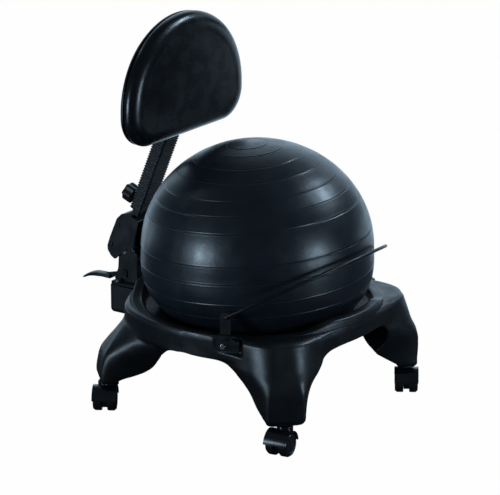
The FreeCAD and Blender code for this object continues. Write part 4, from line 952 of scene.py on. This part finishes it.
@dataclass
class LeverPaddle:
    """The moulded paddle on the tilt lever."""

    centre_x: float = -30.2
    start: float = 358.0
    length: float = 71.6
    half: float = 12.0
    powers: Pair = (0.62, 0.8)
    # Place along the paddle, height of its middle, half its thickness, and share of its width.
    stations: Table = (
        (0, 208.5, 4.6, 0.90), (10, 208.8, 4.6, 0.96), (20, 209.2, 4.4, 1.0), (30, 208.4, 4.9, 1.0),
        (40, 207.8, 5.0, 1.0), (51, 205.6, 4.4, 0.99), (61, 201.6, 3.6, 0.95),
        (68, 197.4, 2.9, 0.86), (71.6, 195.2, 1.8, 0.66))

    def build(self) -> None:
        """Makes the paddle.

        Each row is a squarish oval whose height, middle and width follow a smooth curve through
        the stations, so that the grip waves under the fingers and droops at its tip.
        """
        places, *columns = np.array(self.stations).T
        along = np.linspace(0, self.length, 56)
        kernel = np.ones(7) / 7
        rows = [np.pad(np.interp(along, places, column), 3, mode="edge") for column in columns]
        rows = [np.convolve(row, kernel, "valid") for row in rows]
        middle, thick, wide = np.array(rows)[..., None]
        oval = polar(1, np.linspace(0, 2 * np.pi, 48, endpoint=False))
        side = self.centre_x + self.half * wide * squarish(oval[:, 0], self.powers[0])
        up = middle + thick * squarish(oval[:, 1], self.powers[1])
        points = np.dstack([side, (self.start + along)[:, None] + 0 * side, up]) * MM
        piece = grid_piece("lever_grip", points, flip=True)
        settle(piece, "lever", Finishes.COVER, "lever_paddle")


# ---- studio


COOL = (0.60, 0.81, 1.0)
LAMPS_MIDDLE = (0.0, 0.0, 0.35)
ACROSS_SHARE = 0.4
PICTURE = (500, 495)
SENSOR_WIDTH = 36.0


def toward(azimuth: float, elevation: float) -> Array:
    """Direction from the chair, by degrees round from its front and up from the floor."""
    a, e = math.radians(azimuth), math.radians(elevation)
    return np.array([math.sin(a) * math.cos(e), -math.cos(a) * math.cos(e), math.sin(e)])


def hang(name: str, what: bpy.types.ID, way: Array, distance: float, middle: Triple) -> Object:
    """Hangs a lamp or camera at a distance from the middle, turned to it, with its top upwards."""
    holder = placed(name, what)
    holder.location = np.array(middle) + way * distance
    holder.rotation_euler = Vector(-way).to_track_quat("-Z", "Y").to_euler()
    return holder


@dataclass(frozen=True)
class SoftBox:
    """One soft lamp: where it stands, its width and height and how strong it is."""

    name: str
    azimuth: float
    elevation: float
    distance: float
    width: float
    height: float
    power: float

    def build(self) -> None:
        """Makes the lamp and hangs it on a sphere around the chair."""
        lamp = bpy.data.lights.new(self.name, "AREA")
        lamp.shape = "ELLIPSE"
        lamp.size = self.width
        lamp.size_y = self.height
        lamp.energy = self.power
        lamp.color = COOL
        way = toward(self.azimuth, self.elevation)
        hang(self.name, lamp, way, self.distance, LAMPS_MIDDLE)


class RayNodes(NodeBench):
    """Nodes of the floor or the sky that tell the camera's rays from reflections."""

    def __init__(self, tree: bpy.types.NodeTree, coordinates: str) -> None:
        """Adds the kinds of ray to the bench."""
        super().__init__(tree, coordinates)
        self.ray = self.add("LightPath", {}).outputs
        self.camera = self.ray["Is Camera Ray"]

    def number(self, way: str, first: Socket, second: Socket | float) -> Socket:
        """One number worked out from two, by the named operation."""
        node = self.add("Math", {0: first, 1: second})
        node.operation = way
        return node.outputs[0]

    def along(self, azimuth: float) -> Socket:
        """How far a place or direction reaches along the level way at an azimuth."""
        node = self.add("VectorMath", {0: self.place, 1: tuple(toward(azimuth, 0))})
        node.operation = "DOT_PRODUCT"
        return node.outputs["Value"]

    def mirrored(self, azimuth: float, low: float, high: float) -> Socket:
        """1 for reflections of what lies behind the chair, falling to 0 beside it.

        It grows from low to high with the reach along the way at the azimuth, less ACROSS_SHARE of
        the reach across it.
        """
        across = self.number("ABSOLUTE", self.along(azimuth + 90), 0.0)
        less = self.number("MULTIPLY", across, ACROSS_SHARE)
        reach = self.number("SUBTRACT", self.along(azimuth), less)
        share = self.add("MapRange", {"Value": reach, "From Min": low, "From Max": high})
        share.interpolation_type = "SMOOTHSTEP"
        return self.number("MULTIPLY", self.ray["Is Glossy Ray"], share.outputs["Result"])

    def colour(self) -> Socket:
        """White to the camera and a little bluish in reflections."""
        shades = {k: self.number("MAXIMUM", self.camera, value) for k, value in enumerate(COOL)}
        return self.add("CombineColor", shades).outputs["Color"]


@dataclass
class Studio:
    """Pale seamless floor, soft lamps and the camera at the photograph's angle."""

    azimuth: float = -54.9
    elevation: float = 17.9
    distance: float = 6.194
    focal_px: float = 3000.0
    middle: Pair = (257.5, 271.3)
    target: Triple = (0.0, 0.0, 0.277)
    floor_half: float = 30.0
    floor_colour: Triple = (0.10, 0.10, 0.11)
    floor_share: float = 0.99
    sky: float = 0.09
    back_glow: float = 1.4
    # Reach, on the floor in metres and in the sky as a share, over which the glow behind grows.
    floor_range: Pair = (0.35, 0.80)
    sky_range: Pair = (0.48, 0.85)
    lamps: tuple[SoftBox, ...] = (
        SoftBox("lamp_left", -109, 4, 2.6, 0.5, 0.7, 29),
        SoftBox("lamp_right", 3, 3, 2.6, 0.5, 0.7, 22),
        SoftBox("lamp_upper", 56, 41, 2.8, 0.7, 0.5, 30),
        SoftBox("lamp_edge_left", 158, 22, 3.0, 1.0, 1.2, 2),
        SoftBox("lamp_edge_right", 90, 24, 3.0, 1.0, 1.2, 2),
        SoftBox("lamp_top", -172, 44, 3.0, 0.5, 0.4, 4),
    )

    def build(self) -> None:
        """Sets the floor, the world, the lamps and the camera."""
        self.floor()
        self.world()
        for lamp in self.lamps:
            lamp.build()
        self.camera()
        bpy.context.scene.view_settings.view_transform = "Standard"

    def floor(self) -> None:
        """A level floor that looks white to the camera and still takes the chair's shadow."""
        half = self.floor_half
        mesh = bpy.data.meshes.new("studio_floor")
        corners = [(-half, -half, 0), (half, -half, 0), (half, half, 0), (-half, half, 0)]
        mesh.from_pydata(corners, [], [(0, 1, 2, 3)])
        floor = placed("studio_floor", mesh)
        material = bpy.data.materials.new("studio_floor")
        material.use_nodes = True
        material.node_tree.nodes.clear()
        rays = RayNodes(material.node_tree, "Object")
        matt = rays.add("BsdfDiffuse", {"Color": (*self.floor_colour, 1)})
        mirrored = rays.mirrored(self.azimuth + 180, *self.floor_range)
        shine = rays.number("MULTIPLY", mirrored, self.back_glow)
        glow = rays.add("Emission", {"Strength": rays.number("MAXIMUM", rays.camera, shine),
                                     "Color": rays.colour()})
        seen = rays.number("MAXIMUM", rays.camera, rays.ray["Is Transmission Ray"])
        share = rays.number("MAXIMUM", rays.number("MULTIPLY", seen, self.floor_share), mirrored)
        mix = rays.add("MixShader", {0: share, 1: matt.outputs[0], 2: glow.outputs[0]})
        rays.add("OutputMaterial", {"Surface": mix.outputs[0]})
        mesh.materials.append(material)

    def world(self) -> None:
        """A dim sky that the camera sees as white, and that shines in reflections from behind."""
        world = bpy.data.worlds.new("studio_sky")
        bpy.context.scene.world = world
        world.use_nodes = True
        rays = RayNodes(world.node_tree, "Generated")
        mirrored = rays.mirrored(self.azimuth + 180, *self.sky_range)
        shine = rays.number("MAXIMUM", rays.number("MULTIPLY", mirrored, self.back_glow), self.sky)
        rays.feed(world.node_tree.nodes["Background"], {
            "Strength": rays.number("MAXIMUM", shine, rays.camera), "Color": rays.colour()})

    def camera(self) -> None:
        """The camera, fitted to the photograph: its angle, distance, lens and small shift."""
        width, height = PICTURE
        lens = bpy.data.cameras.new("photo_camera")
        lens.sensor_width = SENSOR_WIDTH
        lens.lens = self.focal_px / width * SENSOR_WIDTH
        lens.shift_x = -(self.middle[0] - width / 2) / width
        lens.shift_y = (self.middle[1] - height / 2) / width
        way = toward(self.azimuth, self.elevation)
        bpy.context.scene.camera = hang("photo_camera", lens, way, self.distance, self.target)


def main() -> None:
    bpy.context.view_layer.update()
    dress_nodes()
    Studio().build()
    SeatBall().build()
    BaseMoulding().build()
    Backrest().build()
    post = PostCover()
    post.build()
    HandKnob().build(post)
    LeverPaddle().build()


if __name__ == "__main__":
    main()
